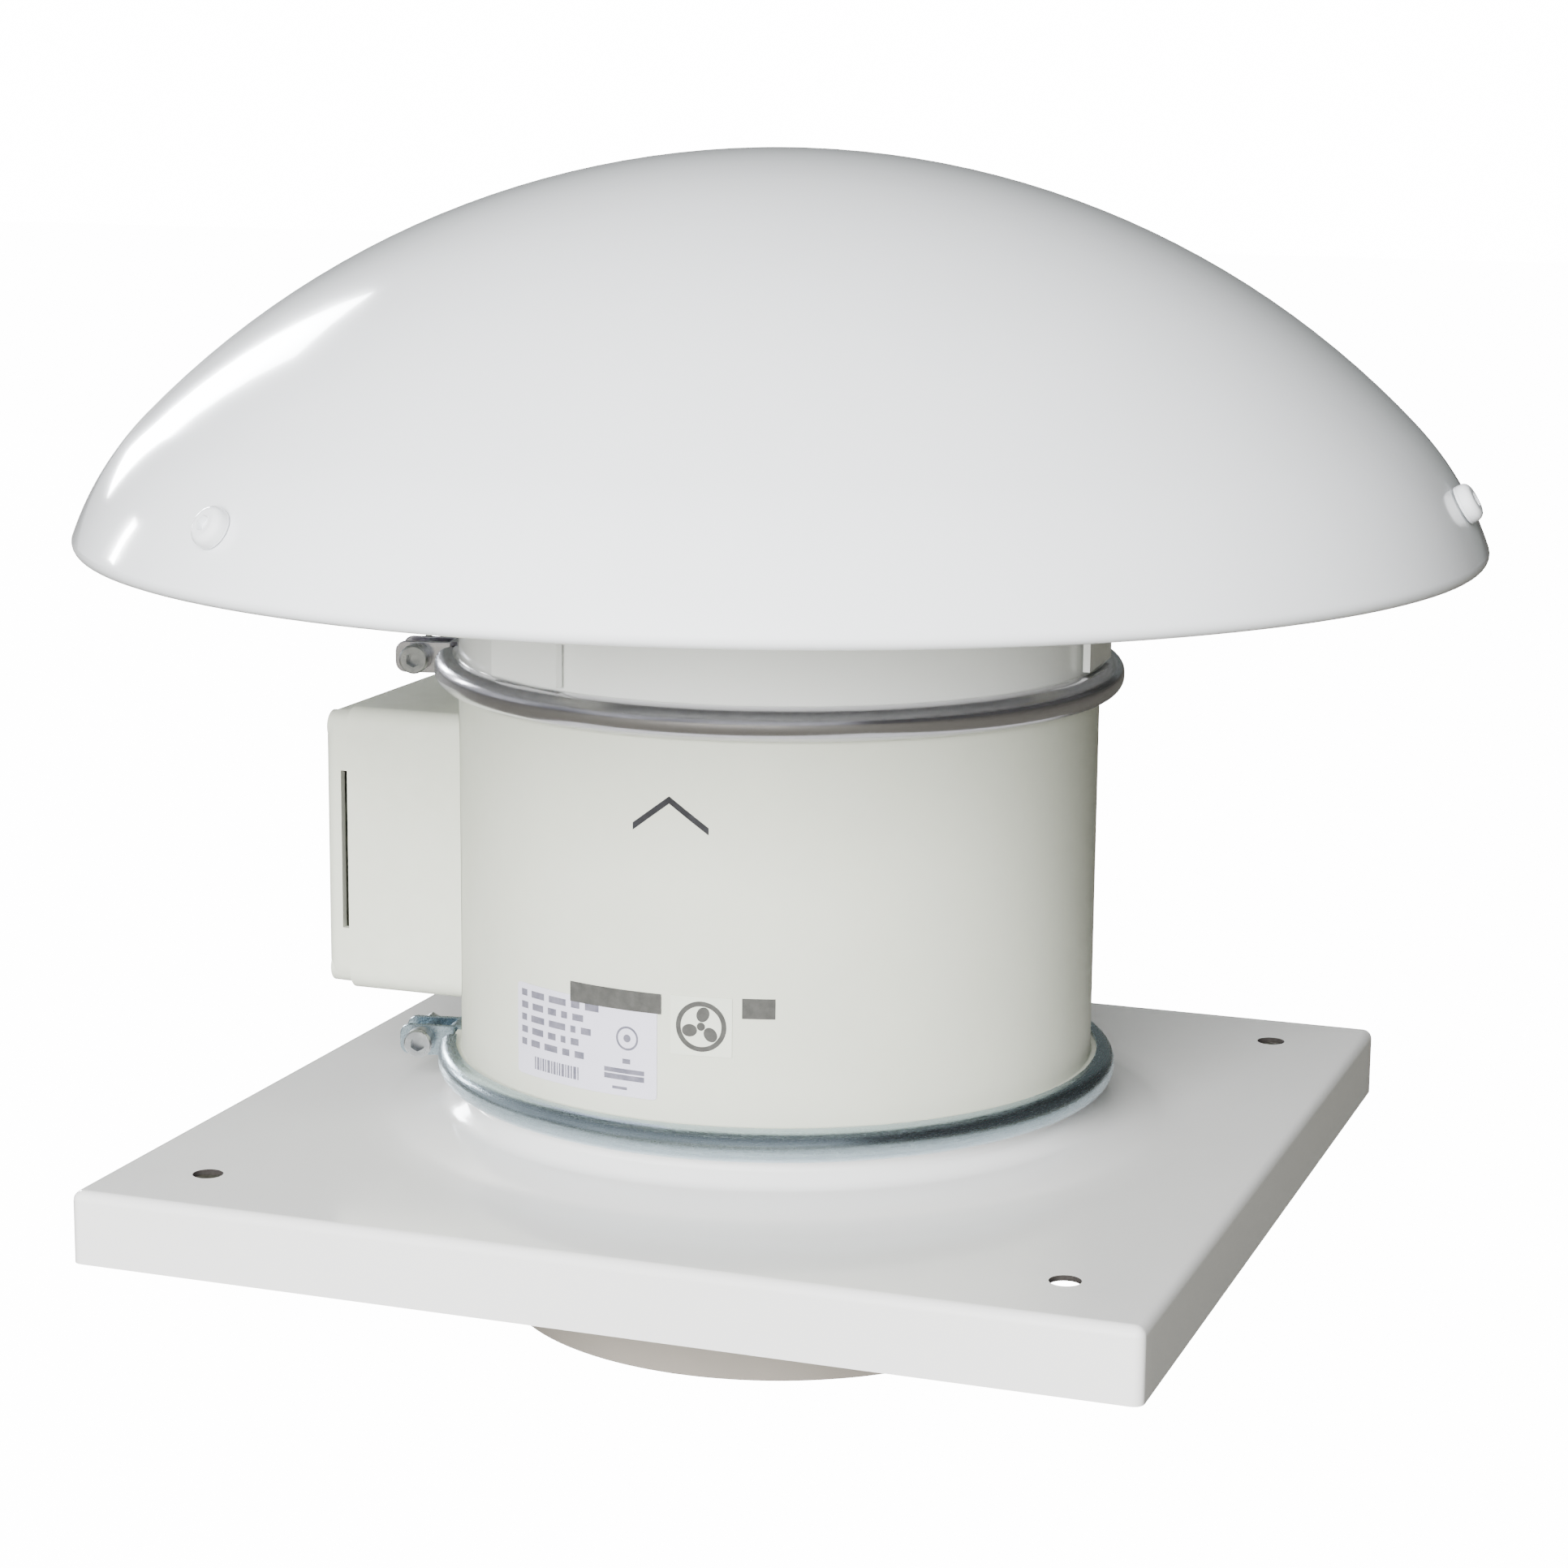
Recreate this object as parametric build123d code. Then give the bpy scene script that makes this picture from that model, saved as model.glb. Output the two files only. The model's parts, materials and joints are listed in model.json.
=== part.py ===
"""Roof exhaust fan: domed weather hood, clamped in-line mixed-flow fan and a square kerb base.

Millimetres, +Z up. The origin is on the fan axis at the open end of the duct spigot, the lowest
face. The base edges lie along X and Y, and the terminal box looks towards -X.
"""
from build123d import *
import math
import os

# ---------------------------------------------------------------- driving dimensions
# square base with a turned-down skirt and a drawn collar
base_size = 300.0
base_skirt = 20.5
base_sheet = 1.5
base_bend = 3.0
roof_hole_spacing = 245.0
roof_hole_d = 8.5
collar_flare_w = 26.0          # how far the drawn collar flares out onto the plate
collar_neck_h = 5.0            # height at which the flare turns into the upright collar

# duct spigot under the base
spigot_step = 26.0             # how much narrower the spigot is than the casing
spigot_drop = 36.5             # length below the skirt
spigot_sheet = 1.2
spigot_flange_w = 56.0         # flange that is spot-welded under the plate

# plastic casing of the fan, clamped between two flanged joints
casing_d = 185.0
casing_wall = 2.5
casing_length = 113.1
joint_height = 16.0            # middle of the lower clamp above the base plate
ledge_w = 2.0
ledge_h = 3.0

# ring clamps
clamp_standoff = 7.0           # outer radius of a clamp beyond the casing
clamp_height = 9.2
clamp_corner = 4.0             # outer bend of the rolled channel
clamp_sheet = 1.2
clamp_lip = 5.2                # how far the clamp reaches in from its outer face
clamp_azimuth = -168.0         # direction of the closing bolt
clamp_gap = 8.0
ear_sheet = 1.6
ear_reach = 13.0
clamp_bolt_d = 5.0

# joint stack inside each clamp
gasket_sheet = 1.0
flange_bead = 3.0              # folded sheet flange

# discharge neck and the straps that carry the hood
neck_sheet = 1.5
neck_height = 31.0             # above the upper joint
strap_width = 28.0
strap_sheet = 2.0
strap_azimuths = (-117.5, 2.5, 122.5)
strap_bend = 5.0
strap_pad_half = 11.0          # pad above the hood screw
strap_pad_low = 15.0           # from the screw down to the bend
seat_gap = 0.1                 # between formed sheets that lie on each other

# spun hood
hood_d = 400.0
hood_sheet = 1.2
hood_crown_share = 0.63        # crown radius over the hood's diameter
hood_shoulder_share = 0.225
hood_rim_angle = 70.0          # slope of the shoulder where the rim begins
hood_hem_r = 3.0
hood_hem_w = 5.0
hood_rim_height = 171.8        # end of the shoulder above the base plate
hood_screw_inset = 7.0         # screws measured in from the rim
hood_screw_d = 6.0

# fan: inlet cone, impeller, guide vanes
cone_sheet = 1.2
cone_throat_gap = 0.4          # inlet cone inside the spigot
cone_depth = 34.0              # below the lower joint
blade_count = 7
blade_sheet = 2.2
tip_gap = 1.4
hub_r_low = 27.0
hub_overhang = 1.5             # upper rim of the hub beyond the motor
hub_wall = 2.2
hub_height = 43.0
vane_count = 9
vane_sheet = 2.0
vane_height = 30.0
can_wall = 2.2

# motor
motor_r = 42.0
shield_wall = 4.0
shield_plate = 3.0
core_inset = 2.0               # core inside the motor's outer face
core_bore = 24.5
core_length = 26.0
winding_height = 8.0
air_gap = 0.5
shaft_r = 4.0
fit = 0.02                     # radial clearance of the seats on the shaft and in the shields
tie_bolt_d = 3.0

# ball bearings
bearing_r = 11.0
bearing_width = 7.0
ball_r = 1.985
ball_count = 7
ball_pitch_r = 7.75
race_gap = 0.045

# terminal box
box_width = 90.0
box_height = 84.0
box_reach = 117.0              # parting face measured out from the fan axis
box_wall = 2.5
box_corner = 6.0
box_above_base = 34.0
lid_depth = 8.0
lid_wall = 2.0
lid_inset = 1.2
lid_screw_d = 4.0
pry_slot = 2.6
pry_slot_length = 47.0
boss_r = 4.5
gland_hex = 20.0
gland_thread_r = 8.0
cable_bore_r = 4.0
lead_r = 3.0
capacitor_d = 25.0
capacitor_length = 44.0

# labels on the casing
label_sheet = 0.3
rating_span = (-121.0, -90.6)
rating_heights = (26.0, 52.0)
symbol_span = (-88.2, -77.6)
symbol_heights = (39.6, 56.0)

# ---------------------------------------------------------------- derived places
plate_top = spigot_drop + base_skirt
plate_under = plate_top - base_sheet
casing_r = casing_d / 2
casing_bore_r = casing_r - casing_wall
spigot_r = casing_r - spigot_step / 2
spigot_bore_r = spigot_r - spigot_sheet
clamp_r = casing_r + clamp_standoff
clamp_bore_r = clamp_r - clamp_sheet
flange_r = clamp_bore_r - (clamp_corner - clamp_sheet)
stack = clamp_height - 2 * clamp_sheet
lower_joint = plate_top + joint_height
lower_stack = lower_joint - stack / 2
lower_gasket_z = lower_stack + flange_bead
cone_flange_z = lower_gasket_z + gasket_sheet
cone_top = cone_flange_z + cone_sheet
cone_start = plate_under + 1.0    # where the inlet cone begins to widen
casing_z0 = cone_top
casing_z1 = casing_z0 + casing_length
upper_gasket_z = casing_z1
neck_z0 = upper_gasket_z + gasket_sheet
upper_joint = neck_z0 + flange_bead - stack / 2
box_z0 = plate_top + box_above_base
box_mid = box_z0 + box_height / 2
block_mid = box_mid + 3.0

hood_crown_r = hood_crown_share * hood_d
hood_shoulder_r = hood_shoulder_share * hood_d
hood_screw_radius = hood_d / 2 - hood_screw_inset

hub_r_high = motor_r + hub_overhang
hub_z0 = plate_top + 2.0
hub_z1 = hub_z0 + hub_height
can_z0 = hub_z1 + 4.0
motor_z0 = can_z0
core_r = motor_r - core_inset
lower_bearing_z = motor_z0 + shield_plate + 1.0
core_z0 = motor_z0 + shield_plate + bearing_width + winding_height + 2.0
core_z1 = core_z0 + core_length
lead_z = core_z1 + lead_r + 1.5
motor_z1 = core_z1 + winding_height + bearing_width + shield_plate + 2.0
upper_bearing_z = motor_z1 - shield_plate - 1.0 - bearing_width
can_z1 = motor_z1 + can_wall
can_r = motor_r + 0.5 + can_wall
vane_z0 = lead_z - vane_height / 2
carrier_ring_r = casing_bore_r - 0.3
carrier_ring_wall = 3.0
strut_r = lead_r + 2.4


# ---------------------------------------------------------------- helpers
def offset_corners(points, shift):
    """The mitred outline of a bent sheet, moved shift to the left of the way it runs."""
    normals = []
    for (x0, y0), (x1, y1) in zip(points, points[1:]):
        run = math.hypot(x1 - x0, y1 - y0)
        normals.append((-(y1 - y0) / run, (x1 - x0) / run))
    moved = [(points[0][0] + shift * normals[0][0], points[0][1] + shift * normals[0][1])]
    for (x, y), (ax, ay), (bx, by) in zip(points[1:-1], normals, normals[1:]):
        share = shift / (1 + ax * bx + ay * by)
        moved.append((x + share * (ax + bx), y + share * (ay + by)))
    moved.append((points[-1][0] + shift * normals[-1][0], points[-1][1] + shift * normals[-1][1]))
    return moved


def sheet_section(points, radii, sheet):
    """Face of a bent sheet in the XZ plane: points run along one face, the other lies to the left."""
    other = offset_corners(points, sheet)
    other_radii = []
    for i, radius in enumerate(radii):
        (x0, y0), (x1, y1), (x2, y2) = points[i:i + 3]
        left_turn = (x1 - x0) * (y2 - y1) - (y1 - y0) * (x2 - x1) > 0
        shifted = radius - sheet if left_turn else radius + sheet
        other_radii.append(max(shifted, 0) if radius > 0 else 0)
    with BuildSketch(Plane.XZ) as section:
        with BuildLine():
            if radii:
                FilletPolyline(*points, radius=list(radii))
                FilletPolyline(*other, radius=other_radii)
            else:
                Line(*points)
                Line(*other)
            Line(points[0], other[0])
            Line(points[-1], other[-1])
        make_face()
    return section.sketch


def polygon_section(points):
    with BuildSketch(Plane.XZ) as section:
        with BuildLine():
            Polyline(*points, close=True)
        make_face()
    return section.sketch


def ring(r_in, r_out, z0, z1):
    """Plain ring about the fan axis."""
    body = Pos(0, 0, z0) * Cylinder(r_out, z1 - z0, align=(Align.CENTER, Align.CENTER, Align.MIN))
    if r_in > 0:
        bore = Cylinder(r_in, z1 - z0 + 2, align=(Align.CENTER, Align.CENTER, Align.MIN))
        body -= Pos(0, 0, z0 - 1) * bore
    return body


def disc(radius, z0, z1):
    return ring(0, radius, z0, z1)


def along_z(shape, x, y, z):
    return Pos(x, y, z) * shape


def rod(radius, length):
    """Cylinder that stands on the XY plane."""
    return Cylinder(radius, length, align=(Align.CENTER, Align.CENTER, Align.MIN))


def hexagon(across_flats, height):
    return extrude(RegularPolygon(across_flats / math.sqrt(3), 6), height)


def turned(shape, azimuth):
    return Rot(0, 0, azimuth) * shape


def facing(azimuth_x, origin):
    """Location at origin whose local Z points along +X turned by azimuth_x about Z."""
    direction = (math.cos(math.radians(azimuth_x)), math.sin(math.radians(azimuth_x)), 0)
    return Plane(origin=origin, x_dir=(0, 0, 1), z_dir=direction).location


def group(shapes):
    solids = []
    for shape in shapes:
        solids.extend(shape.solids())
    return Compound(children=solids)


def save(name, shape):
    export_step(shape, f"parts/{name}.step")


# ---------------------------------------------------------------- base
def base_plate():
    side = base_size
    outer = Pos(0, 0, plate_top) * Box(side, side, base_skirt, align=(Align.CENTER, Align.CENTER, Align.MAX))
    outer = fillet(outer.edges().filter_by(Axis.Z), base_bend)
    outer = fillet(outer.faces().sort_by(Axis.Z)[-1].edges(), base_bend)
    inner_side = side - 2 * base_sheet
    inner = Pos(0, 0, plate_under) * Box(inner_side, inner_side, base_skirt,
                                         align=(Align.CENTER, Align.CENTER, Align.MAX))
    inner = fillet(inner.edges().filter_by(Axis.Z), base_bend - base_sheet)
    inner = fillet(inner.faces().sort_by(Axis.Z)[-1].edges(), base_bend - base_sheet)
    plate = outer - inner
    plate -= disc(casing_r + collar_flare_w - 2.0, plate_under - 5, plate_top + 5)
    collar_top = lower_stack + flange_bead
    collar = revolve(sheet_section([
        (casing_r + collar_flare_w, plate_top),
        (casing_r + 4.0, plate_top + collar_neck_h),
        (casing_r, plate_top + collar_neck_h + 4.0),
        (casing_r, collar_top),
    ], [12.0, 2.2], base_sheet))
    skin = ring(casing_r + collar_flare_w - 2.5, casing_r + collar_flare_w + 1.0, plate_under, plate_top)
    bead = ring(casing_r - 0.5, flange_r, lower_stack, collar_top)
    plate = plate + skin + collar + bead
    reach = roof_hole_spacing / 2
    for x in (-reach, reach):
        for y in (-reach, reach):
            plate -= along_z(rod(roof_hole_d / 2, 20), x, y, plate_top - 10)
    return plate


def inlet_spigot():
    """Duct spigot with its flange flat under the plate."""
    top = plate_under
    return revolve(sheet_section([
        (spigot_bore_r, 0),
        (spigot_bore_r, top),
        (spigot_bore_r + spigot_flange_w, top),
    ], [4.0], -spigot_sheet))


# ---------------------------------------------------------------- joints
def clamp_section(joint_z):
    """Rolled channel that grips the two flanges."""
    half = clamp_height / 2
    inner_half = half - clamp_sheet
    lip_r = clamp_r - clamp_lip
    outline = FilletPolyline((lip_r, joint_z - half), (clamp_r, joint_z - half), (clamp_r, joint_z + half),
                             (lip_r, joint_z + half), radius=[clamp_corner, clamp_corner])
    hollow = FilletPolyline((lip_r, joint_z - inner_half), (clamp_bore_r, joint_z - inner_half),
                            (clamp_bore_r, joint_z + inner_half), (lip_r, joint_z + inner_half),
                            radius=[clamp_corner - clamp_sheet, clamp_corner - clamp_sheet])
    with BuildSketch(Plane.XZ) as section:
        with BuildLine():
            add(outline)
            add(hollow)
            Line(outline @ 0, hollow @ 0)
            Line(outline @ 1, hollow @ 1)
        make_face()
    return section.sketch


def ring_clamp(joint_z):
    """Split ring, its closing ears standing out at azimuth zero before it is turned."""
    ear_offset = clamp_gap / 2
    open_angle = math.degrees(math.asin((ear_offset + ear_sheet / 2) / clamp_bore_r))
    body = turned(revolve(clamp_section(joint_z), Axis.Z, 360 - 2 * open_angle), open_angle)
    ear_start = flange_r + 0.4
    ear_length = clamp_r + ear_reach - ear_start
    for side in (-1, 1):
        ear = Box(ear_length, ear_sheet, clamp_height, align=(Align.MIN, Align.CENTER, Align.CENTER))
        ear = fillet(ear.edges().filter_by(Axis.Y).sort_by(Axis.X)[-2:], 3.0)
        ear = Pos(ear_start, side * (ear_offset + ear_sheet / 2), joint_z) * ear
        body += ear
    bolt_r = clamp_r + ear_reach / 2
    bore = Pos(bolt_r, 0, joint_z) * (Rot(90, 0, 0) * Cylinder(clamp_bolt_d / 2 + 0.15, 40))
    return turned(body - bore, clamp_azimuth)


def clamp_bolt(joint_z):
    """Socket-head screw through both ears, its head towards the front."""
    seat = clamp_gap / 2 + ear_sheet
    head = rod(clamp_bolt_d * 0.85, clamp_bolt_d) - Pos(0, 0, clamp_bolt_d / 2) * hexagon(4.0, clamp_bolt_d)
    head = chamfer(head.edges().filter_by(GeomType.CIRCLE).sort_by(Axis.Z)[-1:], 0.5)
    length = 2 * seat + clamp_bolt_d * 1.4
    shank = Pos(0, 0, -length) * rod(clamp_bolt_d / 2, length)
    bolt_r = clamp_r + ear_reach / 2
    place = Plane(origin=(bolt_r, seat, joint_z), x_dir=(0, 0, 1), z_dir=(0, 1, 0)).location
    return turned(place * (head + shank), clamp_azimuth)


def clamp_nut(joint_z):
    seat = clamp_gap / 2 + ear_sheet
    nut = hexagon(8.0, 4.0) - Pos(0, 0, -1) * rod(clamp_bolt_d / 2 + 0.05, 8)
    bolt_r = clamp_r + ear_reach / 2
    place = Plane(origin=(bolt_r, -seat, joint_z), x_dir=(0, 0, 1), z_dir=(0, -1, 0)).location
    return turned(place * nut, clamp_azimuth)


def joint_gasket(z):
    return ring(casing_bore_r + 0.5, flange_r, z, z + gasket_sheet)


# ---------------------------------------------------------------- casing and neck
def fan_casing():
    """Moulded shell with a bead at each end, the ledge under the vane carrier and its snap noses."""
    lower_bead = lower_stack + stack
    upper_bead = neck_z0 + flange_bead - stack
    body = ring(casing_bore_r, casing_r, casing_z0, casing_z1)
    body += ring(casing_r - 0.5, flange_r, casing_z0, lower_bead)
    body += ring(casing_r - 0.5, flange_r, upper_bead, casing_z1)
    body += ring(casing_bore_r - ledge_w, casing_bore_r + 0.5, vane_z0 - ledge_h, vane_z0)
    nose_z = vane_z0 + vane_height
    for azimuth in (45, 135, 225, 315):
        nose = polygon_section([
            (casing_bore_r + 0.5, nose_z + 0.3),
            (casing_bore_r - 1.4, nose_z + 0.3),
            (casing_bore_r + 0.5, nose_z + 5.0),
        ])
        body += turned(revolve(nose, Axis.Z, 12), azimuth - 6)
    lead_hole = facing(180, (0, 0, lead_z)) * rod(lead_r + 2.0, casing_r + 10)
    body -= lead_hole
    for z in box_screw_heights():
        body -= facing(180, (0, 0, z)) * rod(1.6, casing_r + 10)
    return body


def outlet_neck():
    """Discharge neck with its folded flange and a rolled top edge."""
    top = neck_z0 + neck_height
    body = ring(casing_r - neck_sheet, casing_r, neck_z0, top)
    body += ring(casing_r - 0.5, flange_r, neck_z0, neck_z0 + flange_bead)
    return fillet(body.edges().filter_by(GeomType.CIRCLE).group_by(Axis.Z)[-1], neck_sheet * 0.45)


# ---------------------------------------------------------------- hood
def hood_arcs():
    """Centres and end angles of the two tangent arcs, measured on the outer face."""
    shoulder_end_r = hood_d / 2 - hood_hem_r * (1 - math.sin(math.radians(hood_rim_angle)))
    reach = hood_crown_r - hood_shoulder_r
    sin_join = (shoulder_end_r - hood_shoulder_r * math.sin(math.radians(hood_rim_angle))) / reach
    join = math.asin(sin_join)
    shoulder_x = reach * math.sin(join)
    shoulder_z = plate_top + hood_rim_height - hood_shoulder_r * math.cos(math.radians(hood_rim_angle))
    crown_z = shoulder_z - reach * math.cos(join)
    return join, shoulder_x, shoulder_z, crown_z


def polar(centre, radius, angle):
    """Point at angle from the vertical about a centre in the XZ plane."""
    return (centre[0] + radius * math.sin(angle), centre[1] + radius * math.cos(angle))


def hood():
    join, shoulder_x, shoulder_z, crown_z = hood_arcs()
    rim = math.radians(hood_rim_angle)
    crown = (0, crown_z)
    shoulder = (shoulder_x, shoulder_z)
    hem = polar(shoulder, hood_shoulder_r - hood_hem_r, rim)
    half_turn = math.pi

    def skin(sheet):
        crown_r = hood_crown_r - sheet
        shoulder_r = hood_shoulder_r - sheet
        hem_r = hood_hem_r - sheet
        crown_end = polar(crown, crown_r, join)
        shoulder_end = polar(shoulder, shoulder_r, rim)
        hem_end = polar(hem, hem_r, half_turn)
        tip = (hem_end[0] - hood_hem_w, hem_end[1])
        return [
            ThreePointArc((0, crown_z + crown_r), polar(crown, crown_r, join / 2), crown_end),
            ThreePointArc(crown_end, polar(shoulder, shoulder_r, (join + rim) / 2), shoulder_end),
            ThreePointArc(shoulder_end, polar(hem, hem_r, (rim + half_turn) / 2), hem_end),
            Line(hem_end, tip),
        ]

    with BuildSketch(Plane.XZ) as section:
        with BuildLine():
            outer = skin(0)
            inner = skin(hood_sheet)
            Line(outer[0] @ 0, inner[0] @ 0)
            Line(outer[-1] @ 1, inner[-1] @ 1)
        make_face()
    shell = revolve(section.sketch)
    for azimuth in strap_azimuths:
        shell -= hood_screw_place(azimuth) * Pos(0, 0, -10) * rod(hood_screw_d / 2 + 0.2, 20)
    return shell


def hood_screw_angle():
    """Slope angle of the hood's outer face at the screws."""
    _, shoulder_x, _, _ = hood_arcs()
    return math.asin((hood_screw_radius - shoulder_x) / hood_shoulder_r)


def hood_screw_place(azimuth):
    """Location on the hood's outer face at a strap, local Z square to the face."""
    _, _, shoulder_z, _ = hood_arcs()
    angle = hood_screw_angle()
    z = shoulder_z + hood_shoulder_r * math.cos(angle)
    place = Plane(origin=(hood_screw_radius, 0, z), x_dir=(0, 1, 0),
                  z_dir=(math.sin(angle), 0, math.cos(angle))).location
    return Rot(0, 0, azimuth) * place


def strap_pad_gap():
    """Room between the flat pad and the hollow face of the hood, so that the pad seats on its corners."""
    across = hood_screw_radius / math.sin(hood_screw_angle())
    hollow = strap_pad_half ** 2 / (2 * hood_shoulder_r) + (strap_width / 2) ** 2 / (2 * across)
    return hollow + 2 * seat_gap


def hood_strap(azimuth):
    """Bent strap: up the outside of the neck, out under the hood, and along its inner face."""
    angle = hood_screw_angle()
    _, shoulder_x, shoulder_z, _ = hood_arcs()
    middle = polar((shoulder_x, shoulder_z), hood_shoulder_r - hood_sheet - strap_pad_gap(), angle)
    across, down = math.cos(angle), math.sin(angle)
    corner = (middle[0] + across * strap_pad_low, middle[1] - down * strap_pad_low)
    pad_end = (middle[0] - across * strap_pad_half, middle[1] + down * strap_pad_half)
    foot_r = casing_r + seat_gap + strap_sheet
    foot_z = neck_z0 + flange_bead + clamp_sheet + 1.0
    section = sheet_section([
        (foot_r, foot_z), (foot_r, corner[1]), corner, pad_end,
    ], [strap_bend, strap_bend], strap_sheet)
    strap = extrude(section, strap_width / 2, both=True)
    local = Rot(0, 0, -azimuth) * hood_screw_place(azimuth)
    strap -= local * Pos(0, 0, -8) * rod(hood_screw_d / 2 + 0.2, 12)
    return turned(strap, azimuth)


def hood_screw(azimuth):
    head = rod(hood_screw_d * 0.92, 3.2)
    head = fillet(head.edges().sort_by(Axis.Z)[-1:], 2.2)
    lift = 0.9
    stem = Pos(0, 0, -14 - lift) * rod(hood_screw_d / 2, 14 + lift)
    return hood_screw_place(azimuth) * Pos(0, 0, lift + 0.3) * (head + stem)


def hood_washer(azimuth):
    """Sealing washer under the screw head."""
    washer = rod(hood_screw_d * 0.92, 0.9) - Pos(0, 0, -1) * rod(hood_screw_d / 2 + 0.1, 4)
    return hood_screw_place(azimuth) * Pos(0, 0, 0.3) * washer


def hood_nut(azimuth):
    depth = hood_sheet + strap_pad_gap() + strap_sheet
    nut = hexagon(10.0, 5.0) - Pos(0, 0, -1) * rod(hood_screw_d / 2 + 0.05, 8)
    return hood_screw_place(azimuth) * Pos(0, 0, -depth - 0.05 - 5.0) * nut


# ---------------------------------------------------------------- fan
def cone_profile(z):
    """Bore radius of the inlet cone and casing at height z."""
    throat = spigot_bore_r - cone_throat_gap - cone_sheet
    mouth = casing_bore_r - 1.0
    share = min(max((z - cone_start) / (cone_top - cone_start), 0), 1)
    return throat + share * (mouth - throat)


def inlet_cone():
    """Spun cone between the spigot and the casing, its flange clamped in the lower joint."""
    mouth = casing_bore_r - 1.0
    throat = spigot_bore_r - cone_throat_gap - cone_sheet
    return revolve(sheet_section([
        (throat, cone_flange_z - cone_depth),
        (throat, cone_start),
        (mouth, cone_top),
        (flange_r, cone_top),
    ], [12.0, 1.2], -cone_sheet))


def blade_section(radius, chord, pitch, camber, thick, z):
    """Cambered blade section in the plane at a radius on +X; pitch is from the plane of rotation."""
    half = chord / 2
    with BuildSketch(Plane(origin=(radius, 0, z), x_dir=(0, 1, 0), z_dir=(1, 0, 0))) as section:
        with BuildLine(Plane.XY.rotated((0, 0, pitch))):
            upper = ThreePointArc((-half, thick / 2), (0, camber + thick / 2), (half, thick / 2))
            lower = ThreePointArc((-half, -thick / 2), (0, camber - thick / 2), (half, -thick / 2))
            Line(upper @ 0, lower @ 0)
            Line(upper @ 1, lower @ 1)
        make_face()
    return section.sketch


def hub_radius(z):
    share = (z - hub_z0) / hub_height
    return hub_r_low + share * (hub_r_high - hub_r_low)


def impeller():
    """Mixed-flow wheel: conical hub, web and boss on the shaft, and twisted blades."""
    shell = revolve(sheet_section([
        (hub_r_low, hub_z0), (hub_r_high, hub_z1),
    ], [], hub_wall))
    web_z = hub_z0 + 9.0
    web = disc(hub_radius(web_z) - hub_wall / 2, web_z, web_z + 3.0)
    boss = disc(10.0, hub_z0 + 5.0, hub_z0 + 30.0)
    low = hub_z0 + 1.5
    high = hub_z1 - 3.0
    swept = polygon_section([
        (hub_radius(low) - hub_wall * 0.6, low),
        (cone_profile(low) - tip_gap, low),
        (cone_profile(cone_flange_z) - tip_gap, cone_flange_z),
        (cone_profile(cone_flange_z) - tip_gap, high),
        (hub_radius(high) - hub_wall * 0.6, high),
    ])
    envelope = revolve(swept)
    middle = (low + high) / 2
    tip_r = casing_bore_r
    blade = loft([
        blade_section(hub_r_low - 6, 44, 50, 4.0, blade_sheet, middle),
        blade_section((hub_r_low + tip_r) / 2, 56, 36, 5.0, blade_sheet, middle),
        blade_section(tip_r + 4, 66, 27, 5.0, blade_sheet, middle),
    ])
    blade = blade & envelope
    wheel = shell + web + boss
    for i in range(blade_count):
        wheel += turned(blade, 360 / blade_count * i)
    return wheel - disc(shaft_r + fit, hub_z0 - 5, hub_z1)


def impeller_nut():
    z = hub_z0 + 5.0
    return Pos(0, 0, z - 5.5) * hexagon(13.0, 5.0) - disc(shaft_r + fit, z - 8, z)


def impeller_washer():
    z = hub_z0 + 5.0
    return ring(shaft_r + fit, 8.0, z - 0.5, z)


def spinner_cap():
    """Domed cap that snaps into the lower end of the hub over the nut."""
    nose = 8.0
    rim_r = hub_r_low - hub_wall - 0.4
    points = [(0, hub_z0 - nose), (rim_r * 0.55, hub_z0 - nose), (rim_r, hub_z0 - 0.5),
              (rim_r, hub_z0 + 5.0)]
    return revolve(sheet_section(points, [12.0, 3.0], 1.6))


def vane_carrier():
    """Outer ring, cambered guide vanes, the motor can and the hollow strut for the leads."""
    body = ring(carrier_ring_r - carrier_ring_wall, carrier_ring_r, vane_z0, vane_z0 + vane_height)
    can = disc(can_r, can_z0, can_z1) - disc(can_r - can_wall, can_z0 - 1, motor_z1)
    can = fillet(can.edges().filter_by(GeomType.CIRCLE).group_by(Axis.Z)[-1], 4.0)
    annulus = ring(can_r - can_wall / 2, carrier_ring_r - 1.0, vane_z0 + 1.0, vane_z0 + vane_height - 1.0)
    middle = vane_z0 + vane_height / 2
    vane = loft([
        blade_section(can_r - 6, 38, 118, 3.5, vane_sheet, middle),
        blade_section(carrier_ring_r + 4, 38, 124, 3.5, vane_sheet, middle),
    ])
    vane = vane & annulus
    body += can
    first = 180 + 180 / vane_count
    for i in range(vane_count):
        body += turned(vane, first + 360 / vane_count * i)
    strut_length = carrier_ring_r - can_r + can_wall
    start = (-(can_r - can_wall / 2), 0, lead_z)
    body += facing(180, start) * rod(strut_r, strut_length - 1.0)
    body -= facing(180, (-(can_r - can_wall - 2), 0, lead_z)) * rod(lead_r + 0.4, carrier_ring_r)
    for azimuth in motor_screw_azimuths():
        body -= turned(along_z(rod(2.2, 20), 30, 0, motor_z1 - 1), azimuth)
    body -= disc(12.0, motor_z1 - 1, can_z1 + 1)
    return body


# ---------------------------------------------------------------- motor
def motor_screw_azimuths():
    return (60, 180, 300)


def tie_bolt_azimuths():
    return (0, 120, 240)


def tie_bolt_r():
    return core_r - 0.2


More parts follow.
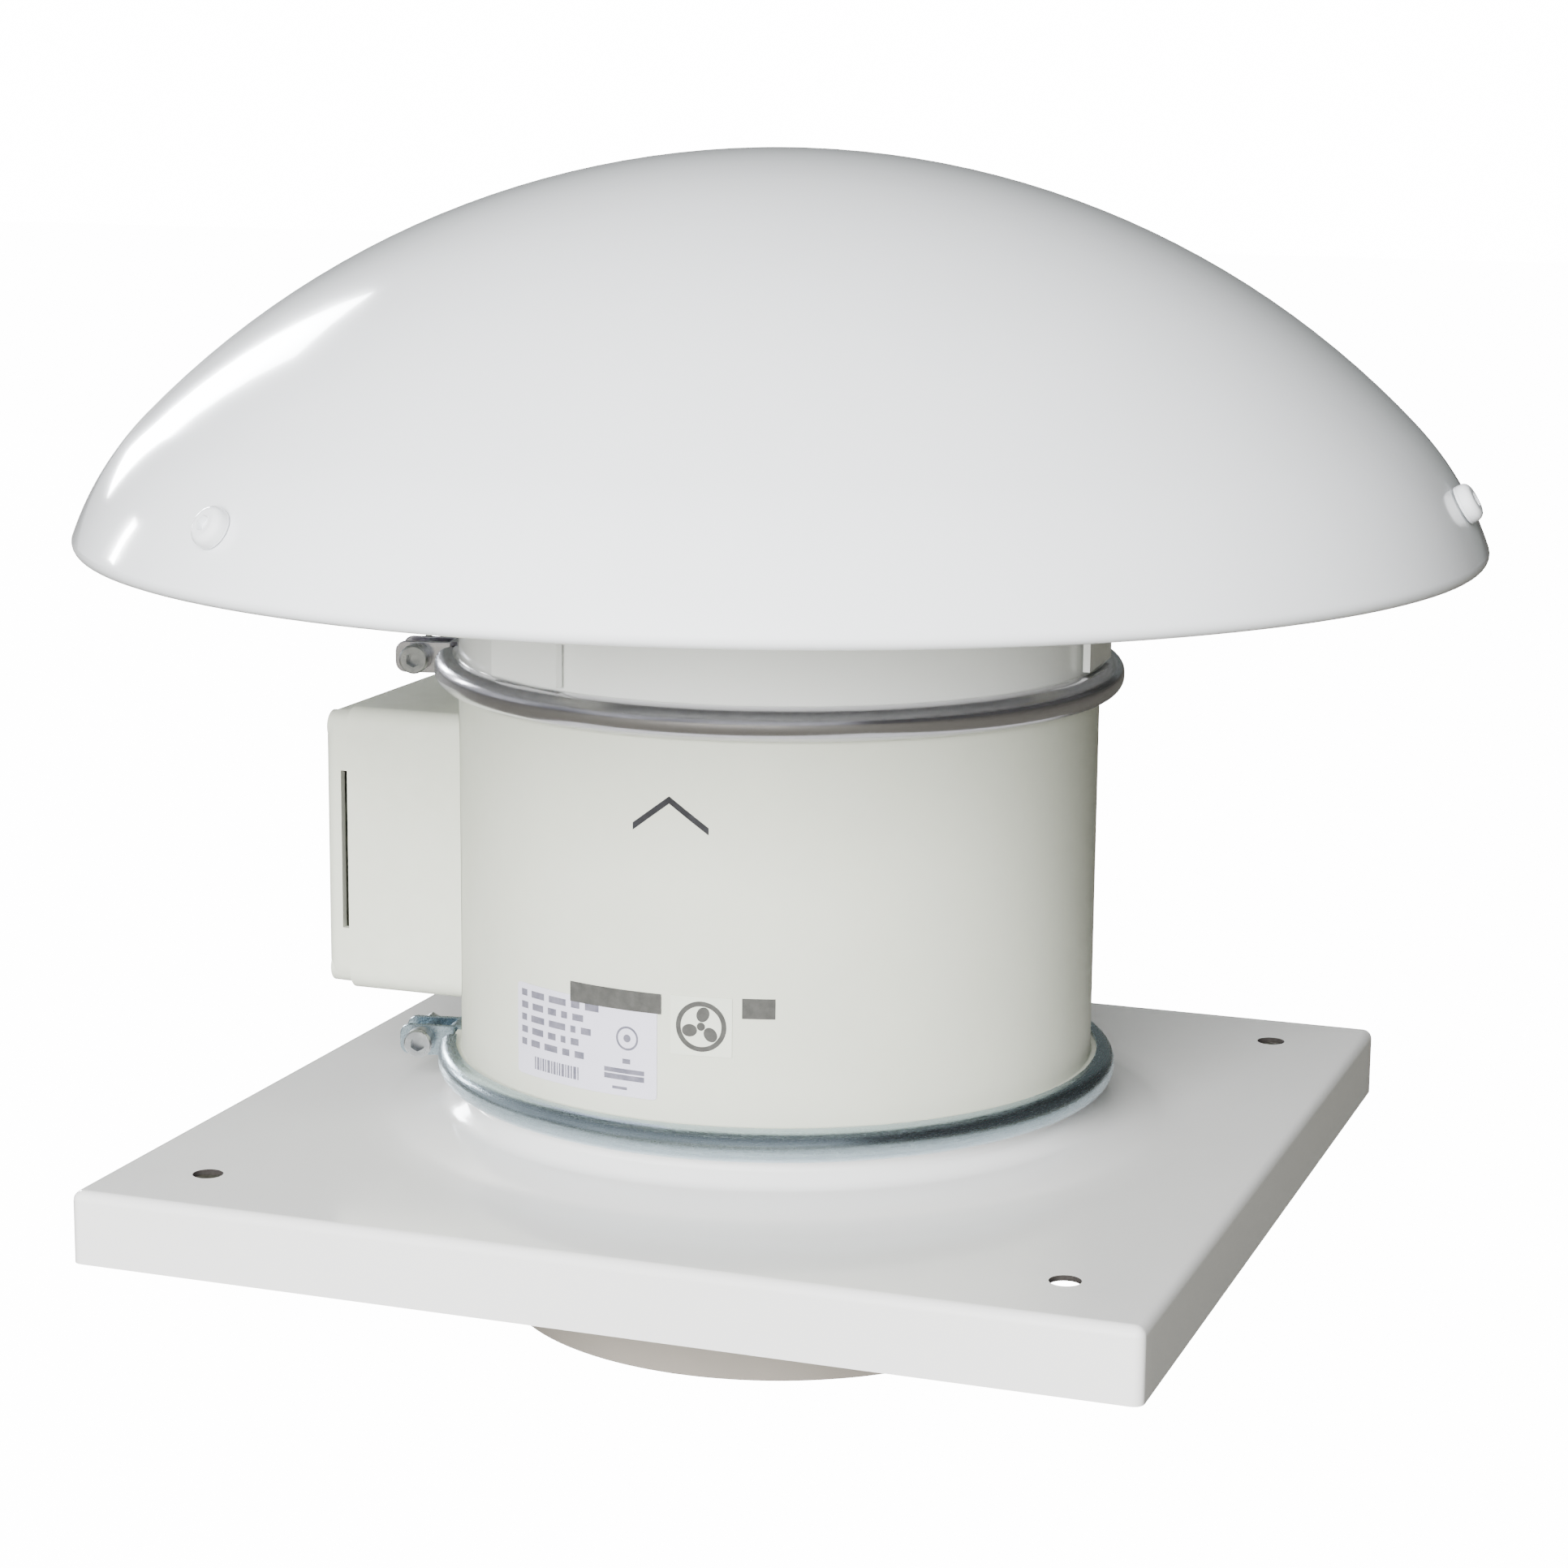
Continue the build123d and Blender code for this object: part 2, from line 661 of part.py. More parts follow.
def motor_shield(lower):
    """Cup-shaped end shield: plate, skirt down to the core, bearing pocket and tie-bolt holes."""
    plate_z = motor_z0 if lower else motor_z1 - shield_plate
    plate = disc(motor_r, plate_z, plate_z + shield_plate)
    skirt_z = (motor_z0 + 1, core_z0) if lower else (core_z1, motor_z1 - 1)
    skirt = ring(motor_r - shield_wall, motor_r, *skirt_z)
    bearing_z = lower_bearing_z if lower else upper_bearing_z
    pocket_z = (motor_z0 + 1, bearing_z + bearing_width) if lower else (bearing_z, motor_z1 - 1)
    body = plate + skirt + disc(bearing_r + 3.0, *pocket_z)
    body -= disc(bearing_r + fit, bearing_z, bearing_z + bearing_width)
    through = disc(bearing_r - 2.0, motor_z0 - 5, motor_z1 + 5)
    body -= through & disc(bearing_r, pocket_z[0] - 5, pocket_z[1] + 5)
    for azimuth in tie_bolt_azimuths():
        hole = along_z(rod(tie_bolt_d / 2 + 0.1, motor_z1 - motor_z0 + 10), tie_bolt_r(), 0, motor_z0 - 5)
        body -= turned(hole, azimuth)
    if not lower:
        for azimuth in motor_screw_azimuths():
            body += turned(along_z(rod(4.0, 7.0), 30, 0, motor_z1 - 8.0), azimuth)
        for azimuth in motor_screw_azimuths():
            body -= turned(along_z(rod(2.05, 20), 30, 0, motor_z1 - 7.5), azimuth)
        body -= facing(180, (-(motor_r - shield_wall - 2), 0, lead_z)) * rod(lead_r + 0.3, 20)
    return body


def stator_core():
    body = ring(core_bore, core_r, core_z0, core_z1)
    for azimuth in tie_bolt_azimuths():
        notch = along_z(rod(tie_bolt_d / 2 + 0.1, core_length + 4), tie_bolt_r(), 0, core_z0 - 2)
        body -= turned(notch, azimuth)
    return body


def stator_windings():
    """Overhang of the windings at each end of the core."""
    coils = []
    for z0 in (core_z0 - winding_height, core_z1):
        coil = ring(core_bore + 1.5, motor_r - shield_wall - 1.0, z0, z0 + winding_height)
        edges = coil.edges().filter_by(GeomType.CIRCLE)
        outer_end = edges.group_by(Axis.Z)[0] if z0 < core_z0 else edges.group_by(Axis.Z)[-1]
        coils.append(fillet(outer_end, 3.0))
    return group(coils)


def rotor_core():
    return ring(shaft_r + fit, core_bore - air_gap, core_z0, core_z1)


def motor_shaft():
    low = hub_z0 - 1.5
    high = motor_z1 - shield_plate + 1.0
    return chamfer(disc(shaft_r, low, high).edges().filter_by(GeomType.CIRCLE), 0.5)


def tie_bolt(azimuth):
    length = motor_z1 - shield_plate - 1.0 - motor_z0
    bolt = rod(tie_bolt_d / 2, length) + Pos(0, 0, -2.0) * rod(tie_bolt_d * 0.75, 2.0)
    return turned(along_z(bolt, tie_bolt_r(), 0, motor_z0), azimuth)


def motor_screw(azimuth):
    screw = Pos(0, 0, -can_wall - 6.0) * rod(2.0, can_wall + 6.0) + rod(3.5, 2.4)
    screw -= Pos(0, 0, 1.0) * hexagon(2.5, 3.0)
    return turned(along_z(screw, 30, 0, can_z1), azimuth)


# ---------------------------------------------------------------- bearings
def ball_ring():
    """Ring-shaped groove that the balls run in."""
    groove = ball_r + race_gap
    with BuildSketch(Plane.XZ) as section:
        with Locations((ball_pitch_r, 0)):
            Circle(groove)
    return revolve(section.sketch)


def bearing_races(z):
    middle = z + bearing_width / 2
    groove = Pos(0, 0, middle) * ball_ring()
    inner = ring(shaft_r + fit, ball_pitch_r - 1.4, z, z + bearing_width) - groove
    outer = ring(ball_pitch_r + 1.4, bearing_r, z, z + bearing_width) - groove
    return inner, outer


def bearing_balls(z):
    middle = z + bearing_width / 2
    step = 360 / ball_count
    return [turned(Pos(ball_pitch_r, 0, middle) * Sphere(ball_r), step * i) for i in range(ball_count)]


def bearing_cage(z):
    """Crown cage: a ring below the balls with a pocket round each of them."""
    middle = z + bearing_width / 2
    body = ring(ball_pitch_r - 0.7, ball_pitch_r + 0.7, middle - 3.1, middle + 0.9)
    for i in range(ball_count):
        body -= turned(Pos(ball_pitch_r, 0, middle) * Sphere(ball_r + 0.08), 360 / ball_count * i)
    return body


# ---------------------------------------------------------------- terminal box
def box_screw_heights():
    return (box_z0 + 9.0, box_mid)


def boss_places():
    """Lid-screw bosses as (y, z)."""
    half_y = box_width / 2 - box_wall - boss_r + 1.0
    half_z = box_height / 2 - box_wall - boss_r + 1.0
    return [(y, box_mid + z) for y in (-half_y, half_y) for z in (-half_z, half_z)]


def casing_cylinder(extra):
    return disc(casing_r + extra, plate_top - 40, plate_top + 300)


def rounded_block(x0, x1, width, height, radius):
    """Block between two x values, centred on the box, with its edges along X rounded."""
    block = Pos((x0 + x1) / 2, 0, box_mid) * Box(abs(x1 - x0), width, height)
    return fillet(block.edges().filter_by(Axis.X), radius)


def terminal_box():
    """Moulded box with a saddle back, bosses, a flat seat for the terminal block and a cable boss."""
    inner_w = box_width - 2 * box_wall
    inner_h = box_height - 2 * box_wall
    back = casing_r * math.cos(math.asin(box_width / 2 / casing_r)) - 4.0
    body = rounded_block(-box_reach, -back, box_width, box_height, box_corner)
    hollow = rounded_block(-box_reach - 1, -back + 5, inner_w, inner_h, box_corner - box_wall)
    body -= hollow - casing_cylinder(box_wall + seat_gap)
    seat_x = -(casing_r + 5.5)
    body += Pos(seat_x, -22, block_mid) * Box(10, 30, 48, align=(Align.MIN, Align.CENTER, Align.CENTER))
    for y, z in boss_places():
        body += facing(180, (-back, y, z)) * rod(boss_r, box_reach - back)
    riser = Pos(-(casing_r + 6), 24, box_z0 + box_height - 1) * Box(
        30, 24, 5.5, align=(Align.CENTER, Align.CENTER, Align.MIN))
    body += fillet(riser.edges().filter_by(Axis.Z), 2.0)
    body -= casing_cylinder(seat_gap)
    for y, z in boss_places():
        body -= facing(180, (-box_reach + 14, y, z)) * rod(lid_screw_d / 2 + 0.1, 20)
    body -= facing(180, (-casing_r + 5, 0, lead_z)) * rod(lead_r + 4.0, 12)
    for z in box_screw_heights():
        body -= facing(180, (-casing_r + 5, 0, z)) * rod(2.2, 12)
    gland_x, gland_z = gland_place()
    body -= Plane(origin=(gland_x, box_width / 2 - box_wall - 5, gland_z), x_dir=(1, 0, 0),
                  z_dir=(0, 1, 0)).location * rod(gland_thread_r + 0.1, box_wall + 10)
    groove = rounded_block(-box_reach - 1, -box_reach + 1.0, inner_w + 2.6, inner_h + 2.6, box_corner - 1.2)
    groove -= rounded_block(-box_reach - 2, -box_reach + 2.0, inner_w, inner_h, box_corner - box_wall)
    return body - groove


def lid_gasket():
    inner_w = box_width - 2 * box_wall
    inner_h = box_height - 2 * box_wall
    seal = rounded_block(-box_reach, -box_reach + 1.0, inner_w + 2.2, inner_h + 2.2, box_corner - 1.4)
    return seal - rounded_block(-box_reach - 1, -box_reach + 2.0, inner_w + 0.2, inner_h + 0.2,
                                box_corner - box_wall)


def terminal_lid():
    """Lift-off cover with rounded edges, its screw seats and the pry slots on the parting line."""
    face = -box_reach - lid_depth
    width = box_width - 2 * lid_inset
    height = box_height - 2 * lid_inset
    shell = rounded_block(face, -box_reach, width, height, box_corner - lid_inset + 1.0)
    shell = fillet(shell.faces().sort_by(Axis.X)[0].edges(), 3.5)
    shell -= rounded_block(face + lid_wall, -box_reach + 1, width - 2 * lid_wall - 1.0,
                           height - 2 * lid_wall - 1.0, box_corner - 2.0)
    for y, z in boss_places():
        shell += facing(180, (-box_reach, y, z)) * rod(boss_r, lid_depth - 1.0)
    for y, z in boss_places():
        shell -= facing(180, (-box_reach + 1, y, z)) * rod(lid_screw_d / 2 + 0.1, 30)
        shell -= facing(180, (face + 3.0, y, z)) * rod(3.9, 20)
    side_slot = Box(pry_slot, 3.5, pry_slot_length, align=(Align.MAX, Align.MIN, Align.CENTER))
    top_slot = Box(pry_slot, 20.0, 2.0, align=(Align.MAX, Align.CENTER, Align.MAX))
    shell -= Pos(-box_reach, -width / 2 - 0.5, box_mid) * side_slot
    shell -= Pos(-box_reach, -16.0, box_mid + height / 2 + 0.5) * top_slot
    return shell


def lid_screw(y, z):
    seat_x = -box_reach - lid_depth + 3.0
    head = rod(3.6, 2.4)
    head = fillet(head.edges().sort_by(Axis.Z)[-1:], 0.8)
    head -= Pos(0, 0, 1.4) * (Box(5.0, 0.9, 3, align=(Align.CENTER, Align.CENTER, Align.MIN))
                              + Box(0.9, 5.0, 3, align=(Align.CENTER, Align.CENTER, Align.MIN)))
    stem = Pos(0, 0, -14) * rod(lid_screw_d / 2, 14)
    return facing(180, (seat_x, y, z)) * (head + stem)


def box_screw(z):
    """Screw that holds the box to the casing."""
    seat_x = -(casing_r + box_wall + seat_gap)
    head = Pos(0, 0, 0.3) * rod(3.6, 2.2)
    head -= Pos(0, 0, 1.3) * hexagon(2.5, 3)
    stem = Pos(0, 0, -box_wall - casing_wall - 1.0) * rod(1.55, box_wall + casing_wall + 1.5)
    return facing(180, (seat_x, 0, z)) * (head + stem)


def terminal_block():
    """Terminal block on its flat seat, with screw wells along its length."""
    seat_x = -(casing_r + 5.5)
    block = Pos(seat_x, -22, block_mid) * Box(13, 22, 42, align=(Align.MAX, Align.CENTER, Align.CENTER))
    step = Pos(seat_x - 13, -33, block_mid) * Box(5, 6, 50, align=(Align.MIN, Align.MIN, Align.CENTER))
    block -= step
    block -= Pos(0, 16, 0) * step
    for z in terminal_heights():
        block -= facing(180, (seat_x - 6, -22, z)) * rod(2.6, 12)
    return block


def terminal_heights():
    return [block_mid + 10.0 * (i - 1.5) for i in range(4)]


def terminal_screw(z):
    seat_x = -(casing_r + 5.5)
    screw = rod(2.5, 4.0) - Pos(0, 0, 3.0) * Box(6, 0.8, 3, align=(Align.CENTER, Align.CENTER, Align.MIN))
    return facing(180, (seat_x - 6, -22, z)) * screw


def capacitor_axis():
    """Capacitor axis in plan, lying on the saddle back."""
    y = 22.0
    reach = casing_r + box_wall + seat_gap + 0.3 + capacitor_d / 2
    return -math.sqrt(reach ** 2 - y ** 2), y


def capacitor():
    x, y = capacitor_axis()
    can = rod(capacitor_d / 2, capacitor_length)
    can = fillet(can.edges().filter_by(GeomType.CIRCLE), 1.5)
    return along_z(can, x, y, box_z0 + box_height - box_wall - 4.0 - capacitor_length)


def gland_place():
    """Cable gland on the rear wall of the box as (x, z)."""
    return -(box_reach - 13.0), box_mid - 16.0


def gland_location(y):
    x, z = gland_place()
    return Plane(origin=(x, y, z), x_dir=(0, 0, 1), z_dir=(0, 1, 0)).location


def gland_body():
    outside = box_width / 2
    bore = gland_thread_r - 2.0
    body = hexagon(gland_hex, 5.0) + rod(gland_thread_r, 13.0)
    body += Pos(0, 0, -box_wall - 4.5) * rod(gland_thread_r, box_wall + 4.5)
    body -= Pos(0, 0, -20) * rod(bore, 24)
    body -= rod(bore + 0.8, 20)
    return gland_location(outside) * body


def gland_seal():
    seal = rod(gland_thread_r - 1.3, 9.0) - Pos(0, 0, -1) * rod(cable_bore_r, 20)
    return gland_location(box_width / 2 + 4.0) * seal


def gland_nut():
    nut = hexagon(gland_hex, 6.0) + Pos(0, 0, 5.0) * rod(gland_hex / 2, 4.5)
    nut = nut + Pos(0, 0, 9.5) * Cone(gland_hex / 2, gland_hex / 2 - 3, 3,
                                      align=(Align.CENTER, Align.CENTER, Align.MIN))
    nut -= Pos(0, 0, -1) * rod(gland_thread_r + 0.1, 10)
    nut -= Pos(0, 0, -1) * rod(gland_thread_r - 2.0, 20)
    return gland_location(box_width / 2 + 5.2) * nut


def gland_locknut():
    nut = hexagon(gland_hex, 3.0) - Pos(0, 0, -1) * rod(gland_thread_r + 0.1, 6)
    return gland_location(box_width / 2 - box_wall - 3.0) * nut


def lead_grommet():
    """Rubber grommet in the casing wall where the motor leads pass."""
    lip = rod(lead_r + 3.6, 1.6)
    neck = Pos(0, 0, -casing_wall - seat_gap) * rod(lead_r + 1.9, casing_wall + seat_gap)
    grommet = lip + neck - Pos(0, 0, -10) * rod(lead_r + 0.1, 20)
    return facing(180, (-(casing_r + seat_gap), 0, lead_z)) * grommet


def motor_leads():
    """Sheathed leads from the motor through the strut to the terminal block."""
    bend = 6.0
    inner_end = -(motor_r - shield_wall - 0.5)
    turn_x = -(casing_r + 13.0)
    with BuildLine() as path:
        FilletPolyline((inner_end, 0, lead_z), (turn_x, 0, lead_z), (turn_x, -11.0, lead_z), radius=bend)
    with BuildSketch(Plane(origin=(inner_end, 0, lead_z), z_dir=(-1, 0, 0))) as profile:
        Circle(lead_r)
    return sweep(profile.sketch, path=path.line)


# ---------------------------------------------------------------- labels
def casing_label(span, heights):
    """Thin sticker that lies on the casing between two azimuths."""
    r_in = casing_r + 0.02
    section = polygon_section([
        (r_in, plate_top + heights[0]), (r_in + label_sheet, plate_top + heights[0]),
        (r_in + label_sheet, plate_top + heights[1]), (r_in, plate_top + heights[1]),
    ])
    return turned(revolve(section, Axis.Z, span[1] - span[0]), span[0])


# ---------------------------------------------------------------- write every piece
def main():
    os.makedirs("parts", exist_ok=True)
    joints = (lower_joint, upper_joint)
    save("base_plate", base_plate())
    save("inlet_spigot", inlet_spigot())
    save("inlet_cone", inlet_cone())
    save("lower_gasket", joint_gasket(lower_gasket_z))
    save("upper_gasket", joint_gasket(upper_gasket_z))
    save("fan_casing", fan_casing())
    save("outlet_neck", outlet_neck())
    save("lower_clamp", ring_clamp(lower_joint))
    save("upper_clamp", ring_clamp(upper_joint))
    save("clamp_bolts", group([clamp_bolt(z) for z in joints]))
    save("clamp_nuts", group([clamp_nut(z) for z in joints]))
    save("hood", hood())
    save("hood_straps", group([hood_strap(a) for a in strap_azimuths]))
    save("hood_screws", group([hood_screw(a) for a in strap_azimuths]))
    save("hood_washers", group([hood_washer(a) for a in strap_azimuths]))
    save("hood_nuts", group([hood_nut(a) for a in strap_azimuths]))
    save("impeller", impeller())
    save("impeller_nut", impeller_nut())
    save("impeller_washer", impeller_washer())
    save("spinner_cap", spinner_cap())
    save("vane_carrier", vane_carrier())
    save("motor_lower_shield", motor_shield(True))
    save("motor_upper_shield", motor_shield(False))
    save("stator_core", stator_core())
    save("stator_windings", stator_windings())
    save("rotor_core", rotor_core())
    save("motor_shaft", motor_shaft())
    save("motor_tie_bolts", group([tie_bolt(a) for a in tie_bolt_azimuths()]))
    save("motor_screws", group([motor_screw(a) for a in motor_screw_azimuths()]))
    races = [bearing_races(z) for z in (lower_bearing_z, upper_bearing_z)]
    save("bearing_inner_rings", group([inner for inner, _ in races]))
    save("bearing_outer_rings", group([outer for _, outer in races]))
    for name, z in (("lower", lower_bearing_z), ("upper", upper_bearing_z)):
        save(f"{name}_bearing_balls", group(bearing_balls(z)))
        save(f"{name}_bearing_cage", bearing_cage(z))
    save("terminal_box", terminal_box())
    save("terminal_lid", terminal_lid())
    save("lid_gasket", lid_gasket())
    save("lid_screws", group([lid_screw(y, z) for y, z in boss_places()]))
    save("box_screws", group([box_screw(z) for z in box_screw_heights()]))
    save("terminal_block", terminal_block())
    save("terminal_screws", group([terminal_screw(z) for z in terminal_heights()]))
    save("capacitor", capacitor())
    save("gland_body", gland_body())
    save("gland_seal", gland_seal())
    save("gland_nut", gland_nut())
    save("gland_locknut", gland_locknut())
    save("lead_grommet", lead_grommet())
    save("motor_leads", motor_leads())
    save("rating_label", casing_label(rating_span, rating_heights))
    save("symbol_label", casing_label(symbol_span, symbol_heights))


main()
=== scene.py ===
import json
import math

import bmesh
import bpy
from bpy.props import FloatProperty, FloatVectorProperty, IntProperty, PointerProperty
from mathutils import Matrix, Vector


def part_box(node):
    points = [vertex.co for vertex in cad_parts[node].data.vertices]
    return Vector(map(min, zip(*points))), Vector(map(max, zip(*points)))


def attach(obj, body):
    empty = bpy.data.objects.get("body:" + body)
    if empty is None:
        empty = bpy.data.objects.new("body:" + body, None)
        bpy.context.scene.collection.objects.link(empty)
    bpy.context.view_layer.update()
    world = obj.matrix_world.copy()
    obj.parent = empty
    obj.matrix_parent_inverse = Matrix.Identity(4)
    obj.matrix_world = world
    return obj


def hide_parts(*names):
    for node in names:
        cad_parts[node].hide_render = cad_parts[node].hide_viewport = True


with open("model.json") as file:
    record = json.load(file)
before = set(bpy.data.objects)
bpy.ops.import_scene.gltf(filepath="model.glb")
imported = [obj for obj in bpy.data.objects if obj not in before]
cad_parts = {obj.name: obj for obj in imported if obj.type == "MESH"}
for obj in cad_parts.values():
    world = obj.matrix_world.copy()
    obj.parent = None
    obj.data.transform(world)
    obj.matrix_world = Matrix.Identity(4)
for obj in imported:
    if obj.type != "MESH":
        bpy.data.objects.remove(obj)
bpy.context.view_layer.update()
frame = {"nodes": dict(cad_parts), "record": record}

bl_info = {
    "name": "Roof exhaust fan",
    "version": (1, 0, 0),
    "blender": (4, 5, 0),
    "location": "View3D > Sidebar > Roof fan",
    "description": "Models and finishes the outside of a roof exhaust fan on its packed CAD frame",
    "category": "Object",
}

CENTRE = (0.0, 0.0, 0.0)
FAN_AXIS = (0.0, 0.0, 1.0)
MM = 0.001


def corner(node, end, axis):
    """One coordinate of a CAD node's box, in metres."""
    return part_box(node)[end][axis]


HOOD_TOP = corner("hood", 1, 2)
HOOD_RADIUS = corner("hood", 1, 0)
PLATE_TOP = corner("inlet_spigot", 1, 2) + 1.5 * MM
BASE_HALF = corner("base_plate", 1, 0)
SKIRT_LOW = corner("base_plate", 0, 2)
FLANGE_RADIUS = corner("outlet_neck", 1, 0)
CLAMP_RADIUS = corner("upper_clamp", 1, 0)
CASING_RADIUS = FLANGE_RADIUS - 3.0 * MM
CASING_WALL = 2.5 * MM
NECK_SHEET = 1.5 * MM
SPIGOT_RADIUS = 79.5 * MM
SPIGOT_SHEET = 1.2 * MM
UPPER_BEAD = 2.8 * MM
LOWER_BEAD = 1.6 * MM
CLAMP_LIP = CLAMP_RADIUS - 5.2 * MM
CLAMP_HALF_GAP = 4.8 * MM
EAR_SPAN = (4.0 * MM, 5.6 * MM)
EAR_REACH = 13 * MM
FILM = {"lift": 0.02 * MM, "thick": 0.26 * MM}
PRINT = {"lift": 0.29 * MM, "thick": 0.04 * MM}
TOUCH = 0.1 * MM


# ------------------------------------------------------------------ settings
class HoodSettings(bpy.types.PropertyGroup):
    crown_radius: FloatProperty(name="Crown radius", description="Radius of the hood's flat crown",
                                default=0.252, unit="LENGTH")
    shoulder_radius: FloatProperty(name="Shoulder radius", description="Radius of the curve above the rim",
                                   default=0.090, unit="LENGTH")
    rim_angle: FloatProperty(name="Rim slope", description="Slope at which the shoulder meets the hem",
                             default=math.radians(70.0), subtype="ANGLE")
    hem_radius: FloatProperty(name="Hem radius", description="Radius of the rolled hem",
                              default=0.003, unit="LENGTH")
    hem_width: FloatProperty(name="Hem width", description="Flat width of the hem turned inwards",
                             default=0.005, unit="LENGTH")
    sheet: FloatProperty(name="Sheet", description="Thickness of the spun sheet",
                         default=0.0012, unit="LENGTH")
    screw_radius: FloatProperty(name="Screw circle", description="Distance of the hood screws from the axis",
                                default=0.193, unit="LENGTH")
    colour: FloatVectorProperty(name="Enamel", description="Colour of the hood's enamel",
                                default=(0.79, 0.81, 0.83), subtype="COLOR", size=3, min=0.0, max=1.0)


class ShellSettings(bpy.types.PropertyGroup):
    steps: IntProperty(name="Turning steps", description="Number of faces round each turned piece",
                       default=160, min=24, max=256)
    casing_colour: FloatVectorProperty(name="Casing plastic", description="Colour of the moulded casing",
                                       default=(0.555, 0.575, 0.490), subtype="COLOR", size=3,
                                       min=0.0, max=1.0)
    neck_colour: FloatVectorProperty(name="Neck enamel", description="Colour of the discharge neck",
                                     default=(0.74, 0.755, 0.72), subtype="COLOR", size=3, min=0.0, max=1.0)
    clamp_sheet: FloatProperty(name="Clamp sheet", description="Thickness of the rolled clamp channel",
                               default=0.0012, unit="LENGTH")
    clamp_azimuth: FloatProperty(name="Clamp bolt direction", description="Direction of the clamps' bolts",
                                 default=math.radians(-168.0), subtype="ANGLE")


class BaseSettings(bpy.types.PropertyGroup):
    bend: FloatProperty(name="Bend radius", description="Outer radius of the folded skirt",
                        default=0.003, unit="LENGTH")
    sheet: FloatProperty(name="Sheet", description="Thickness of the base sheet",
                         default=0.0015, unit="LENGTH")
    hole_spacing: FloatProperty(name="Hole spacing", description="Distance between the roof holes",
                                default=0.245, unit="LENGTH")
    hole_diameter: FloatProperty(name="Hole diameter", description="Diameter of the roof holes",
                                 default=0.0085, unit="LENGTH")
    flare: FloatProperty(name="Collar flare",
                         description="How far the drawn collar sweeps out onto the plate",
                         default=0.032, unit="LENGTH")
    colour: FloatVectorProperty(name="Enamel", description="Colour of the base's enamel",
                                default=(0.78, 0.78, 0.77), subtype="COLOR", size=3, min=0.0, max=1.0)


class LabelSettings(bpy.types.PropertyGroup):
    film: FloatVectorProperty(name="Film", description="Colour of the label film",
                              default=(0.60, 0.59, 0.68), subtype="COLOR", size=3, min=0.0, max=1.0)
    ink: FloatVectorProperty(name="Ink", description="Colour of the printed marks",
                             default=(0.020, 0.020, 0.022), subtype="COLOR", size=3, min=0.0, max=1.0)


# ------------------------------------------------------------------ modelling helpers
def leave_edit():
    active = bpy.context.view_layer.objects.active
    if active and active.mode != "OBJECT":
        bpy.ops.object.mode_set(mode="OBJECT")


def deselect():
    leave_edit()
    bpy.ops.object.select_all(action="DESELECT")


def choose(piece):
    deselect()
    piece.select_set(True)
    bpy.context.view_layer.objects.active = piece


def edit(piece):
    choose(piece)
    bpy.ops.object.mode_set(mode="EDIT")


def take_all():
    """Selects the whole edited mesh."""
    bpy.ops.mesh.select_all(action="SELECT")


def face_out():
    """Points the edited mesh's faces outwards and leaves edit mode."""
    take_all()
    bpy.ops.mesh.normals_make_consistent(inside=False)
    leave_edit()


def settle():
    """Keeps the selected piece's place, turn and size in its mesh."""
    bpy.ops.object.transform_apply(location=True, rotation=True, scale=True)


def pick(piece, kind, test):
    """Selects the vertices, edges or faces of the edited mesh that pass the test."""
    bpy.ops.mesh.select_mode(type=kind)
    bpy.ops.mesh.select_all(action="DESELECT")
    mesh = bmesh.from_edit_mesh(piece.data)
    for part in {"VERT": mesh.verts, "EDGE": mesh.edges, "FACE": mesh.faces}[kind]:
        if test(part):
            part.select_set(True)
    mesh.select_flush_mode()
    bmesh.update_edit_mesh(piece.data)


def middle(edge):
    return (edge.verts[0].co + edge.verts[1].co) / 2


def move(step):
    bpy.ops.transform.translate(value=step)


def extrude(step):
    bpy.ops.mesh.extrude_region_move(TRANSFORM_OT_translate={"value": step})


def section(points, closed=False):
    """Draws a line of edges through the points, point by point, and stays in edit mode."""
    deselect()
    bpy.ops.mesh.primitive_plane_add(size=0.002, location=CENTRE)
    piece = bpy.context.object
    bpy.ops.object.mode_set(mode="EDIT")
    bpy.ops.mesh.select_mode(type="VERT")
    take_all()
    bpy.ops.mesh.merge(type="CENTER")
    move(points[0])
    for here, there in zip(points, points[1:]):
        extrude(Vector(there) - Vector(here))
    if closed:
        pick(piece, "VERT", lambda vertex: len(vertex.link_edges) == 1)
        bpy.ops.mesh.edge_face_add()
    return piece


def turn(profile, steps, closed=False, angle=2 * math.pi):
    """Spins a line of (radius, height) points round the fan axis."""
    piece = section([(radius, 0, height) for radius, height in profile], closed)
    take_all()
    bpy.ops.mesh.spin(steps=steps, angle=angle, center=CENTRE, axis=FAN_AXIS)
    take_all()
    bpy.ops.mesh.remove_doubles(threshold=1e-6)
    face_out()
    return piece


def rounded(corners, steps=5):
    """Points of a line whose corners (x, z, radius) are rounded."""
    points = [corners[0][:2]]
    for before, here, after in zip(corners, corners[1:], corners[2:]):
        place, radius = Vector(here[:2]), here[2]
        into = (Vector(before[:2]) - place).normalized()
        out = (Vector(after[:2]) - place).normalized()
        half = math.acos(max(-1.0, min(1.0, into.dot(out)))) / 2
        if radius <= 0 or half > math.pi / 2 - 0.02:
            points.append(tuple(place))
            continue
        centre = place + (into + out).normalized() * radius / math.sin(half)
        start = place + into * radius / math.tan(half) - centre
        end = place + out * radius / math.tan(half) - centre
        sweep = start.angle_signed(end)
        for i in range(steps + 1):
            turned = start.copy()
            turned.rotate(Matrix.Rotation(-sweep * i / steps, 2))
            points.append(tuple(centre + turned))
    points.append(corners[-1][:2])
    return points


